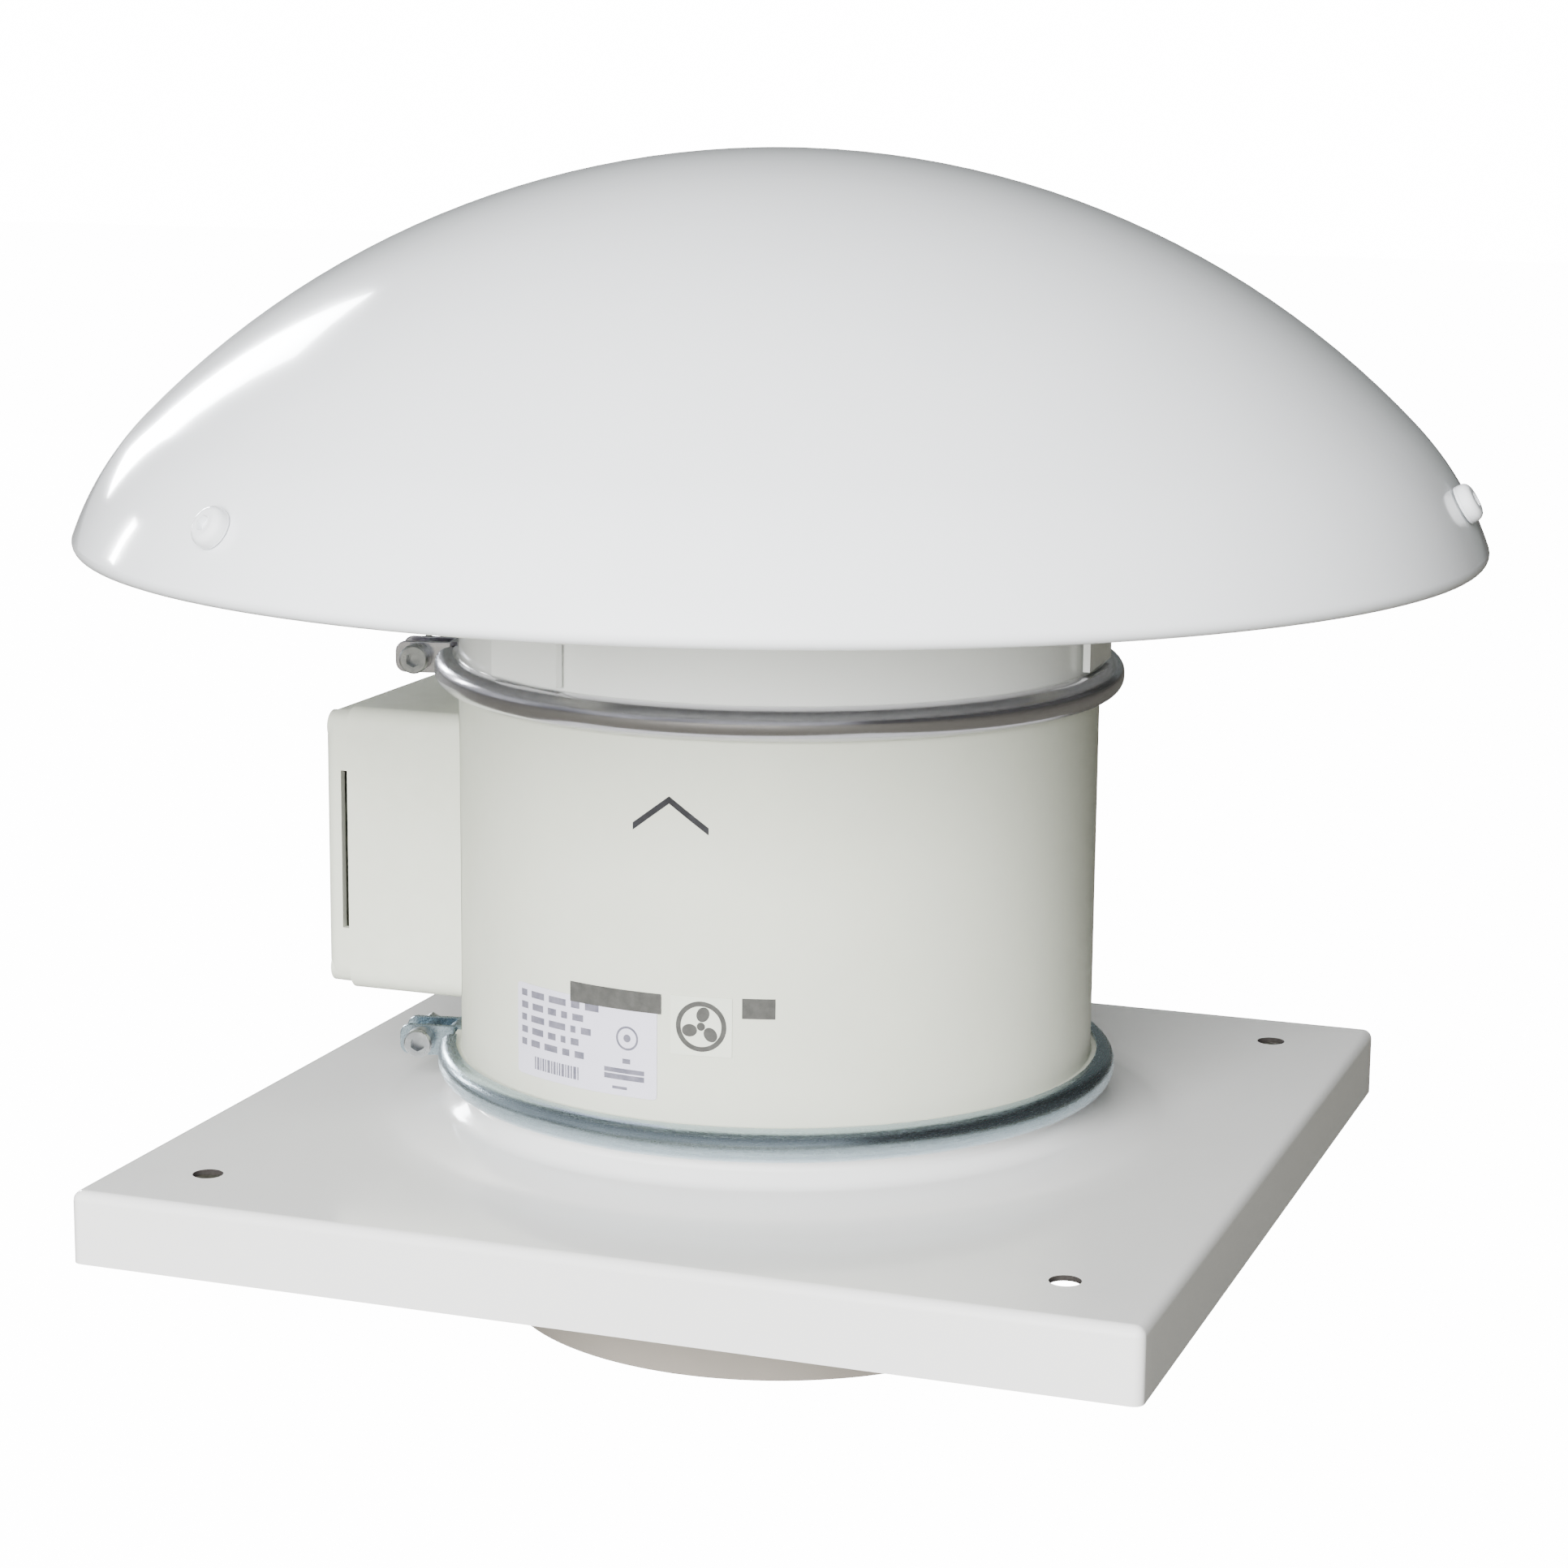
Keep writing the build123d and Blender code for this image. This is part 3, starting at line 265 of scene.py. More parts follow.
def modifier(piece, kind, **values):
    """Adds a modifier with these values and applies it."""
    choose(piece)
    change = piece.modifiers.new(kind.title(), kind)
    for key, value in values.items():
        setattr(change, key, value)
    bpy.ops.object.modifier_apply(modifier=change.name)


def wall(piece, thickness, offset=-1.0):
    modifier(piece, "SOLIDIFY", thickness=thickness, offset=offset, use_even_offset=True)


def soften(piece, width, segments=3, angle=35.0):
    modifier(piece, "BEVEL", width=width, segments=segments, limit_method="ANGLE",
             angle_limit=math.radians(angle), use_clamp_overlap=True)


def cut(piece, tool, way="DIFFERENCE"):
    """Cuts the tool out of the piece, or joins it on, and throws the tool away."""
    modifier(piece, "BOOLEAN", object=tool, operation=way, solver="EXACT")
    bpy.data.objects.remove(tool)


def block(low, high):
    """Box between two corners."""
    deselect()
    size = Vector(high) - Vector(low)
    bpy.ops.mesh.primitive_cube_add(size=1.0, location=(Vector(high) + Vector(low)) / 2)
    piece = bpy.context.object
    piece.scale = size
    settle()
    return piece


def rod(radius, length, place=CENTRE, towards=FAN_AXIS, sides=48):
    """Cylinder that starts at place and runs towards a direction."""
    deselect()
    direction = Vector(towards).normalized()
    bpy.ops.mesh.primitive_cylinder_add(vertices=sides, radius=radius, depth=length)
    piece = bpy.context.object
    piece.matrix_world = (Matrix.Translation(Vector(place) + direction * length / 2)
                          @ direction.to_track_quat("Z", "Y").to_matrix().to_4x4())
    settle()
    return piece


def round_edges(piece, test, width, segments=5):
    """Bevels the edges of a piece that pass the test."""
    edit(piece)
    pick(piece, "EDGE", test)
    bpy.ops.mesh.bevel(offset=width, segments=segments, profile=0.5, affect="EDGES")
    leave_edit()


def runs_along(edge, axis):
    span = edge.verts[0].co - edge.verts[1].co
    return abs(span[axis]) > 0.98 * span.length


def joined(pieces):
    """One object from several."""
    deselect()
    for piece in pieces:
        piece.select_set(True)
    bpy.context.view_layer.objects.active = pieces[0]
    bpy.ops.object.join()
    return pieces[0]


def placed(piece, matrix):
    """Puts a piece in its place and keeps that place in the mesh."""
    choose(piece)
    piece.matrix_world = matrix @ piece.matrix_world
    settle()
    return piece


def copied(piece, matrix):
    """A copy with its own mesh, put in its place."""
    choose(piece)
    bpy.ops.object.duplicate(linked=False)
    return placed(bpy.context.object, matrix)


def done(piece, name, finishes, body="housing", stands_for=(), angle=35.0):
    """Names, finishes and mounts a piece."""
    choose(piece)
    settle()
    bpy.ops.object.shade_smooth_by_angle(angle=math.radians(angle))
    modifier(piece, "WEIGHTED_NORMAL", keep_sharp=True)
    piece.name = name
    piece.data.name = name
    if not isinstance(finishes, (list, tuple)):
        finishes = [finishes]
    if len(piece.data.materials) < len(finishes) or len(finishes) == 1:
        piece.data.materials.clear()
        for finish in finishes:
            piece.data.materials.append(finish)
    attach(piece, body)
    if stands_for:
        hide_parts(*stands_for)
    return piece


# ------------------------------------------------------------------ node groups
def put(tree, kind, inputs=None, **values):
    """Adds a node, sets its values and its inputs; an input that is a socket is linked."""
    node = tree.nodes.new(kind)
    for key, value in values.items():
        setattr(node, key, value)
    for key, value in (inputs or {}).items():
        if isinstance(value, bpy.types.NodeSocket):
            tree.links.new(value, node.inputs[key])
        else:
            node.inputs[key].default_value = value
    return node


def start_group(name, inputs, outputs):
    group = bpy.data.node_groups.new(name, "ShaderNodeTree")
    for label, kind, default in inputs:
        socket = group.interface.new_socket(name=label, in_out="INPUT", socket_type=kind)
        socket.default_value = default
    for label, kind in outputs:
        group.interface.new_socket(name=label, in_out="OUTPUT", socket_type=kind)
    return group, group.nodes.new("NodeGroupInput").outputs, group.nodes.new("NodeGroupOutput").inputs


NUMBER = "NodeSocketFloat"
COLOUR = "NodeSocketColor"
GREY = (0.5, 0.5, 0.5, 1.0)


def mix(tree, factor, first, second, way="MIX"):
    return put(tree, "ShaderNodeMix", {0: factor, 6: first, 7: second},
               data_type="RGBA", blend_type=way).outputs[2]


def maths(tree, way, *values):
    """Result of a Math node."""
    return put(tree, "ShaderNodeMath", dict(enumerate(values)), operation=way).outputs[0]


def spread(tree, value, low, high, to_low=0.0, to_high=1.0):
    """Map Range from low..high to to_low..to_high, held at both ends."""
    return put(tree, "ShaderNodeMapRange", {"Value": value, "From Min": low, "From Max": high,
                                            "To Min": to_low, "To Max": to_high}).outputs["Result"]


def on_object(tree):
    """Object coordinates, which stay with the piece."""
    return put(tree, "ShaderNodeTexCoord").outputs["Object"]


def noise(tree, place, scale, detail, roughness=0.5):
    """Value of a noise texture."""
    return put(tree, "ShaderNodeTexNoise", {"Vector": place, "Scale": scale, "Detail": detail,
                                            "Roughness": roughness}).outputs["Fac"]


def drift_mask(tree, scale):
    """Slow drift between two shades, as in enamel and moulded plastic."""
    place = on_object(tree)
    slow = noise(tree, place, scale, 3.0, 0.55)
    quick = noise(tree, place, maths(tree, "MULTIPLY", scale, 9.0), 4.0, 0.6)
    return spread(tree, maths(tree, "MULTIPLY_ADD", quick, 0.35, slow), 0.48, 0.88)


def streak_mask(tree, scale):
    """Fine lines that run round the fan axis, as in rolled and drawn sheet."""
    split = put(tree, "ShaderNodeSeparateXYZ", {"Vector": on_object(tree)}).outputs
    flat = put(tree, "ShaderNodeCombineXYZ", {"X": split["X"], "Y": split["Y"]}).outputs[0]
    reach = put(tree, "ShaderNodeVectorMath", {0: flat}, operation="LENGTH").outputs["Value"]
    bend = maths(tree, "MULTIPLY", maths(tree, "ARCTAN2", split["Y"], split["X"]), 0.012)
    line = put(tree, "ShaderNodeCombineXYZ", {"X": reach, "Y": split["Z"], "Z": bend}).outputs[0]
    return spread(tree, noise(tree, line, scale, 5.0, 0.7), 0.3, 0.7)


def spangle_mask(tree, scale):
    """Crystals of hot zinc."""
    place = on_object(tree)
    warp = put(tree, "ShaderNodeTexNoise", {"Vector": place, "Scale": 90.0, "Detail": 2.0}).outputs["Color"]
    bent = mix(tree, 0.04, place, warp, "ADD")
    cells = put(tree, "ShaderNodeTexVoronoi", {"Vector": bent, "Scale": scale}).outputs["Color"]
    return put(tree, "ShaderNodeSeparateColor", {"Color": cells}).outputs["Red"]


def wear_and_highlight_mask(tree, amount):
    """Lighter, barer colour where edges stand proud: partly rubbed wear, partly a painted edge highlight."""
    edge = spread(tree, put(tree, "ShaderNodeNewGeometry").outputs["Pointiness"], 0.52, 0.60)
    patch = spread(tree, noise(tree, on_object(tree), 160.0, 4.0), 0.42, 0.62)
    return maths(tree, "MULTIPLY", maths(tree, "MULTIPLY", edge, patch), amount)


def dust_mask(tree, amount):
    """Thin dust on faces that look up and in corners."""
    shape = put(tree, "ShaderNodeNewGeometry").outputs
    up = put(tree, "ShaderNodeSeparateXYZ", {"Vector": shape["Normal"]}).outputs["Z"]
    up = spread(tree, up, 0.2, 1.0, 0.0, 0.6)
    nook = spread(tree, shape["Pointiness"], 0.40, 0.49, 1.0, 0.0)
    patch = spread(tree, noise(tree, on_object(tree), 35.0, 5.0, 0.65), 0.35, 0.7)
    lie = maths(tree, "MAXIMUM", up, nook)
    return maths(tree, "MULTIPLY", maths(tree, "MULTIPLY", lie, patch), amount)


BLENDS = {
    # group name, its two colours, its control and that control's default, what makes the mask
    "drift": ("Shade drift", "Light", "Dark", "Scale", 20.0, drift_mask),
    "streak": ("Rolled streaks", "Light", "Dark", "Scale", 900.0, streak_mask),
    "spangle": ("Zinc spangle", "Light", "Dark", "Scale", 220.0, spangle_mask),
    # Edge wear: lighter proud edges, partly real wear and partly a painted edge highlight
    "wear_and_highlight": ("Edge wear and highlight", "Colour", "Worn and lit", "Amount", 0.5, wear_and_highlight_mask),
    "dust": ("Settled dust", "Colour", "Dust", "Amount", 0.2, dust_mask),
}


def blend_group(name, first, second, control, default, make_mask):
    """Node group that mixes two colours by a mask."""
    inputs = [(first, COLOUR, GREY), (second, COLOUR, GREY), (control, NUMBER, default)]
    group, take, give = start_group(name, inputs, [("Colour", COLOUR), ("Mask", NUMBER)])
    mask = make_mask(group, take[control])
    group.links.new(mix(group, mask, take[first], take[second]), give["Colour"])
    group.links.new(mask, give["Mask"])
    return group


def grain_group():
    """Fine height for orange peel, mould grain and casting skin."""
    group, take, give = start_group("Fine grain", [("Scale", NUMBER, 800.0), ("Coarse", NUMBER, 0.3)],
                                    [("Height", NUMBER)])
    place = on_object(group)
    fine = noise(group, place, take["Scale"], 3.0)
    slow = noise(group, place, maths(group, "MULTIPLY", take["Scale"], 0.12), 1.0)
    slow = maths(group, "MULTIPLY", slow, take["Coarse"])
    group.links.new(maths(group, "ADD", fine, slow), give["Height"])
    return group


GROUPS = {}


def group_in(tree, name, inputs):
    """Places a shared node group in a material and gives back its outputs."""
    if name not in GROUPS:
        GROUPS[name] = grain_group() if name == "grain" else blend_group(*BLENDS[name])
    return put(tree, "ShaderNodeGroup", inputs, node_tree=GROUPS[name]).outputs


def rgba(colour):
    return (colour[0], colour[1], colour[2], 1.0)


def shade(colour, factor):
    return tuple(min(1.0, part * factor) for part in colour)


def finish(name, colour, second=None, pattern="drift", scale=18.0, rough=(0.3, 0.4), grain=(900.0, 0.3, 0.02),
           metallic=0.0, coat=0.0, worn_and_lit=None, wear_and_highlight=0.0, dust=0.0, specular=0.5, coat_rough=0.04):
    """One material: a patterned colour, worn edges lightened partly as a painted highlight, dust, varied
    roughness and fine bump.
    """
    material = bpy.data.materials.new(name)
    material.use_nodes = True
    tree = material.node_tree
    shader = tree.nodes["Principled BSDF"]
    second = second or shade(colour, 0.93)
    base = group_in(tree, pattern, {"Light": rgba(colour), "Dark": rgba(second), "Scale": scale})
    top = base["Colour"]
    roughness = spread(tree, base["Mask"], 0.0, 1.0, rough[0], rough[1])
    # Proud edges lightened: partly wear, partly a painted edge highlight.
    if wear_and_highlight:
        worn_and_lit = rgba(worn_and_lit or shade(colour, 1.15))
        top = group_in(tree, "wear_and_highlight", {"Colour": top, "Worn and lit": worn_and_lit, "Amount": wear_and_highlight})["Colour"]
    if dust:
        dusty = group_in(tree, "dust", {"Colour": top, "Dust": (0.42, 0.40, 0.36, 1.0), "Amount": dust})
        top = dusty["Colour"]
        roughness = put(tree, "ShaderNodeMath", {0: dusty["Mask"], 1: 0.5, 2: roughness},
                        operation="MULTIPLY_ADD", use_clamp=True).outputs[0]
    tree.links.new(top, shader.inputs["Base Color"])
    tree.links.new(roughness, shader.inputs["Roughness"])
    height = group_in(tree, "grain", {"Scale": grain[0], "Coarse": grain[1]})["Height"]
    bump = put(tree, "ShaderNodeBump", {"Height": height, "Strength": 1.0, "Distance": grain[2] * MM})
    tree.links.new(bump.outputs["Normal"], shader.inputs["Normal"])
    shader.inputs["Metallic"].default_value = metallic
    shader.inputs["Coat Weight"].default_value = coat
    shader.inputs["Coat Roughness"].default_value = coat_rough
    shader.inputs["Specular IOR Level"].default_value = specular
    return material


FINISHES = {}


def make_finishes(scene):
    """Every finish of the fan, by name."""
    film = {"scale": 60.0, "rough": (0.30, 0.38), "grain": (700.0, 0.4, 0.006), "coat": 0.2}
    printed = {"rough": (0.42, 0.55), "grain": (1500.0, 0.3, 0.004), "specular": 0.25}
    hood = scene.fan_hood
    shell = scene.fan_shell
    base = scene.fan_base
    label = scene.fan_label
    FINISHES.update({
        "hood enamel": finish("Hood enamel", hood.colour, shade(hood.colour, 0.975), scale=9.0,
                              rough=(0.10, 0.15), grain=(420.0, 0.6, 0.012), coat=0.35, dust=0.03),
        "base enamel": finish("Base enamel", base.colour, shade(base.colour, 0.97), scale=12.0,
                              rough=(0.14, 0.20), grain=(420.0, 0.5, 0.012), coat=0.3,
                              worn_and_lit=(0.80, 0.79, 0.77), wear_and_highlight=0.25, dust=0.05),
        "neck enamel": finish("Neck enamel", shell.neck_colour, shade(shell.neck_colour, 0.96), scale=14.0,
                              rough=(0.16, 0.22), grain=(420.0, 0.5, 0.012), coat=0.3, dust=0.04),
        "casing plastic": finish("Casing plastic", shell.casing_colour, shade(shell.casing_colour, 0.955),
                                 scale=26.0, rough=(0.48, 0.60), grain=(1500.0, 0.25, 0.020),
                                 worn_and_lit=(0.60, 0.62, 0.54), wear_and_highlight=0.3, dust=0.04),
        "bright steel": finish("Bright clamp steel", (0.62, 0.61, 0.66), (0.54, 0.53, 0.58), "streak", 1600.0,
                               (0.17, 0.25), (500.0, 0.2, 0.0015), metallic=1.0),
        "zinc steel": finish("Zinc clamp steel", (0.46, 0.56, 0.62), (0.38, 0.47, 0.53), "streak", 1400.0,
                             (0.22, 0.32), (500.0, 0.3, 0.002), metallic=1.0, dust=0.05),
        "zinc screw": finish("Zinc screws", (0.60, 0.62, 0.64), (0.48, 0.50, 0.52), scale=300.0,
                             rough=(0.25, 0.38), grain=(1500.0, 0.3, 0.008), metallic=1.0,
                             worn_and_lit=(0.8, 0.8, 0.8), wear_and_highlight=0.5),
        "galvanised": finish("Galvanised sheet", (0.56, 0.57, 0.59), (0.42, 0.43, 0.45), "spangle", 150.0,
                             (0.30, 0.48), (700.0, 0.3, 0.008), metallic=1.0, dust=0.2),
        "fan plastic": finish("Fan plastic", (0.40, 0.43, 0.39), (0.34, 0.365, 0.335), scale=30.0,
                              rough=(0.42, 0.55), grain=(1600.0, 0.2, 0.015), dust=0.25),
        "cast aluminium": finish("Cast aluminium", (0.50, 0.50, 0.51), (0.38, 0.38, 0.39), scale=120.0,
                                 rough=(0.40, 0.62), grain=(900.0, 0.8, 0.05), metallic=1.0, dust=0.2),
        "laminations": finish("Lamination steel", (0.24, 0.25, 0.27), (0.10, 0.10, 0.11), "streak", 1500.0,
                              (0.35, 0.55), (1200.0, 0.2, 0.01), metallic=1.0),
        "copper": finish("Varnished copper", (0.42, 0.16, 0.06), (0.26, 0.09, 0.03), "streak", 1400.0,
                         (0.22, 0.35), (1200.0, 0.4, 0.05), metallic=0.6, coat=0.5),
        "bearing steel": finish("Bearing steel", (0.68, 0.69, 0.71), (0.58, 0.59, 0.61), "streak", 3000.0,
                                (0.10, 0.20), (1500.0, 0.1, 0.003), metallic=1.0),
        "black plastic": finish("Black plastic", (0.035, 0.035, 0.038), (0.025, 0.025, 0.027), scale=60.0,
                                rough=(0.38, 0.50), grain=(1600.0, 0.2, 0.02),
                                worn_and_lit=(0.10, 0.10, 0.10), wear_and_highlight=0.5),
        "soft rubber": finish("Soft rubber", (0.030, 0.030, 0.032), (0.045, 0.045, 0.045), scale=90.0,
                              rough=(0.60, 0.80), grain=(1200.0, 0.4, 0.03), dust=0.2),
        # Darker brownish enamel: partly the spigot's own colour, partly painted shade from the base above it.
        "spigot enamel and painted shade": finish("Spigot enamel and painted shade", (0.34, 0.31, 0.27), (0.30, 0.275, 0.24), scale=14.0,
                                rough=(0.28, 0.40), grain=(420.0, 0.5, 0.012), coat=0.2, dust=0.1),
        # Near-black hole walls: a bare cut edge with painted shade for the hollow of the roof holes.
        "cut edge and painted shade": finish("Cut sheet edge and painted shade", (0.075, 0.07, 0.065), (0.045, 0.04, 0.038), scale=500.0,
                           rough=(0.5, 0.7), grain=(1200.0, 0.4, 0.02), metallic=0.4),
        "block plastic": finish("Block plastic", (0.72, 0.71, 0.64), (0.62, 0.61, 0.55), scale=60.0,
                                rough=(0.32, 0.42), grain=(1200.0, 0.3, 0.01)),
        "brass": finish("Plated brass", (0.68, 0.50, 0.22), (0.50, 0.36, 0.15), scale=260.0,
                        rough=(0.22, 0.36), grain=(1200.0, 0.3, 0.008), metallic=1.0),
        "label film": finish("Label film", label.film, shade(label.film, 0.95), **film),
        "pale film": finish("Pale label film", (0.62, 0.65, 0.56), (0.58, 0.61, 0.53), **film),
        "ink": finish("Printed ink", label.ink, shade(label.ink, 1.6), scale=300.0, **printed),
        "soft ink": finish("Soft printed ink", (0.11, 0.11, 0.14), (0.17, 0.165, 0.20), scale=420.0,
                           **printed),
        "grey ink": finish("Grey printed ink", (0.055, 0.055, 0.052), (0.075, 0.075, 0.070), scale=420.0,
                           **printed),
    })


SLOT_FINISH = {
    "painted_steel": "neck enamel", "inner_steel": "galvanised", "gasket_rubber": "soft rubber",
    "casing_plastic": "casing plastic", "clamp_steel": "bright steel", "zinc_steel": "zinc screw",
    "fan_plastic": "fan plastic", "cast_aluminium": "cast aluminium", "core_steel": "laminations",
    "winding_copper": "copper", "bearing_steel": "bearing steel", "dark_plastic": "black plastic",
    "dark_rubber": "soft rubber", "block_plastic": "block plastic", "terminal_brass": "brass",
    "label_film": "label film",
}


EASED = {
    "terminal_box": 0.5 * MM, "terminal_lid": 0.35 * MM, "hood_straps": 0.45 * MM, "clamp_bolts": 0.25 * MM,
    "clamp_nuts": 0.25 * MM, "hood_nuts": 0.3 * MM, "gland_body": 0.3 * MM, "gland_nut": 0.4 * MM,
    "box_screws": 0.2 * MM, "terminal_block": 0.4 * MM, "motor_screws": 0.2 * MM, "motor_tie_bolts": 0.2 * MM,
}


def ease(node, width):
    """Breaks the sharp edges of a CAD node with live modifiers."""
    flat = node.modifiers.new("Flat faces", "DECIMATE")
    flat.decimate_type = "DISSOLVE"
    flat.angle_limit = math.radians(1.0)
    edge = node.modifiers.new("Eased edges", "BEVEL")
    edge.width = width
    edge.segments = 2
    edge.limit_method = "ANGLE"
    edge.angle_limit = math.radians(38.0)
    edge.harden_normals = False


class FAN_OT_frame_finishes(bpy.types.Operator):
    """Gives every CAD node of the frame its finish and eases the edges of the listed ones"""
    bl_idname = "roof_fan.frame_finishes"
    bl_label = "Frame finishes"

    def execute(self, context):
        make_finishes(context.scene)
        slots = {part["node"]: part["material_slot"] for part in frame["record"]["subparts"]}
        for name, node in frame["nodes"].items():
            material = FINISHES[SLOT_FINISH[slots[name]]]
            node.data.materials.clear()
            node.data.materials.append(material)
            if name in EASED:
                ease(node, EASED[name])
        return {"FINISHED"}


# ------------------------------------------------------------------ hood
def hood_arcs(hood):
    """Join angle and the centres of the hood's two arcs and its hem."""
    reach = hood.crown_radius - hood.shoulder_radius
    end = HOOD_RADIUS - hood.hem_radius * (1 - math.sin(hood.rim_angle))
    join = math.asin((end - hood.shoulder_radius * math.sin(hood.rim_angle)) / reach)
    crown = Vector((0.0, HOOD_TOP - hood.crown_radius))
    shoulder = crown + Vector((math.sin(join), math.cos(join))) * reach
    hem = shoulder + Vector((math.sin(hood.rim_angle), math.cos(hood.rim_angle))) * (
        hood.shoulder_radius - hood.hem_radius)
    return join, crown, shoulder, hem


def arc(centre, radius, start, end, steps):
    """Points of an arc, with angles measured from straight up."""
    points = []
    for i in range(steps + 1):
        angle = start + (end - start) * i / steps
        points.append((centre[0] + radius * math.sin(angle), centre[1] + radius * math.cos(angle)))
    return points


class FAN_OT_weather_hood(bpy.types.Operator):
    """Spins the domed hood with its rolled hem"""
    bl_idname = "roof_fan.weather_hood"
    bl_label = "Weather hood"

    def execute(self, context):
        hood = context.scene.fan_hood
        join, crown, shoulder, hem = hood_arcs(hood)
        line = arc(crown, hood.crown_radius, 0.0, join, 26)
        line += arc(shoulder, hood.shoulder_radius, join, hood.rim_angle, 16)[1:]
        line += arc(hem, hood.hem_radius, hood.rim_angle, math.pi, 8)[1:]
        line.append((line[-1][0] - hood.hem_width, line[-1][1]))
        piece = turn(line, context.scene.fan_shell.steps)
        wall(piece, hood.sheet)
        done(piece, "weather_hood", FINISHES["hood enamel"], stands_for=("hood",))
        return {"FINISHED"}


STRAP_AZIMUTHS = (-117.5, 2.5, 122.5)


class FAN_OT_hood_screws(bpy.types.Operator):
    """Models one painted hood screw on its washer and copies it to each strap"""
    bl_idname = "roof_fan.hood_screws"
    bl_label = "Hood screws"

    def execute(self, context):
        hood = context.scene.fan_hood
        _, _, shoulder, _ = hood_arcs(hood)
        lean = math.asin((hood.screw_radius - shoulder[0]) / hood.shoulder_radius)
        height = shoulder[1] + hood.shoulder_radius * math.cos(lean)
        head = rod(5.5 * MM, 3.3 * MM, (0, 0, 1.1 * MM), sides=40)
        round_edges(head, lambda e: middle(e).z > 4.3 * MM and not runs_along(e, 2), 2.2 * MM, 6)
        socket = rod(2.3 * MM, 3.0 * MM, (0, 0, 2.6 * MM), sides=6)
        cut(head, socket)
        stem = rod(3.0 * MM, 15.0 * MM, (0, 0, -13.5 * MM), sides=32)
        washer = rod(5.5 * MM, 0.9 * MM, (0, 0, 0.2 * MM), sides=40)
        soften(washer, 0.25 * MM, 2)
        screw = joined([head, stem, washer])
        stand = (Matrix.Translation((hood.screw_radius, 0, height)) @ Matrix.Rotation(lean, 4, "Y"))
        for number, azimuth in enumerate(STRAP_AZIMUTHS):
            place = Matrix.Rotation(math.radians(azimuth), 4, "Z") @ stand
            piece = copied(screw, place)
            stands_for = ("hood_screws", "hood_washers") if number == 0 else ()
            done(piece, f"hood_screw_{number + 1}", FINISHES["hood enamel"],
                 stands_for=stands_for)
        bpy.data.objects.remove(screw)
        return {"FINISHED"}


# ------------------------------------------------------------------ neck, casing, clamps
class FAN_OT_discharge_neck(bpy.types.Operator):
    """Turns the discharge neck with its rolled top edge and its folded flange"""
    bl_idname = "roof_fan.discharge_neck"
    bl_label = "Discharge neck"

    def execute(self, context):
        low, high = corner("outlet_neck", 0, 2), corner("outlet_neck", 1, 2)
        outer, inner = CASING_RADIUS, CASING_RADIUS - NECK_SHEET
        line = rounded([
            (inner, low + 4 * MM, 0), (inner, high, 0.7 * MM), (outer, high, 0.7 * MM),
            (outer, low + 3 * MM, 1.2 * MM), (FLANGE_RADIUS, low + 3 * MM, 0.8 * MM),
            (FLANGE_RADIUS, low, 0.4 * MM), (inner, low, 0), (inner, low + 4 * MM, 0),
        ])[:-1]
        piece = turn(line, context.scene.fan_shell.steps, closed=True)
        done(piece, "discharge_neck", FINISHES["neck enamel"], stands_for=("outlet_neck",))
        return {"FINISHED"}


class FAN_OT_ring_clamps(bpy.types.Operator):
    """Rolls the two split clamps and gives each its bent ears"""
    bl_idname = "roof_fan.ring_clamps"
    bl_label = "Ring clamps"

    def execute(self, context):
        shell = context.scene.fan_shell
        for node, name, metal in (("upper_clamp", "upper_ring_clamp", "bright steel"),
                                  ("lower_clamp", "lower_ring_clamp", "zinc steel")):
            low, high = corner(node, 0, 2), corner(node, 1, 2)
            sheet, lip = shell.clamp_sheet, CLAMP_LIP
            line = rounded([
                (lip, low, 0), (CLAMP_RADIUS, low, 4.2 * MM),
                (CLAMP_RADIUS, high, 4.2 * MM), (lip, high, 0),
            ], 9)
            line += rounded([
                (lip, high - sheet, 0), (CLAMP_RADIUS - sheet, high - sheet, 2.8 * MM),
                (CLAMP_RADIUS - sheet, low + sheet, 2.8 * MM), (lip, low + sheet, 0),
            ], 6)
            gap = math.asin(CLAMP_HALF_GAP / CLAMP_RADIUS)
            ring = turn(line, shell.steps, closed=True, angle=2 * math.pi - 2 * gap)
            placed(ring, Matrix.Rotation(gap, 4, "Z"))
            edit(ring)
            for side in (-1, 1):
                pick(ring, "EDGE", lambda e: e.is_boundary and middle(e).y * side > 0)
                bpy.ops.mesh.edge_face_add()
            leave_edit()
            ears = []
            for side in (-1, 1):
                inner, outer = sorted(side * edge for edge in EAR_SPAN)
                ear = block((lip + 1.6 * MM, inner, low), (CLAMP_RADIUS + EAR_REACH, outer, high))
                round_edges(ear, lambda e: runs_along(e, 1) and middle(e).x > CLAMP_RADIUS, 3.0 * MM, 5)
                soften(ear, 0.35 * MM, 2, 40)
                ears.append(ear)
            piece = joined([ring] + ears)
            placed(piece, Matrix.Rotation(shell.clamp_azimuth, 4, "Z"))
            done(piece, name, FINISHES[metal], stands_for=(node,))
        return {"FINISHED"}


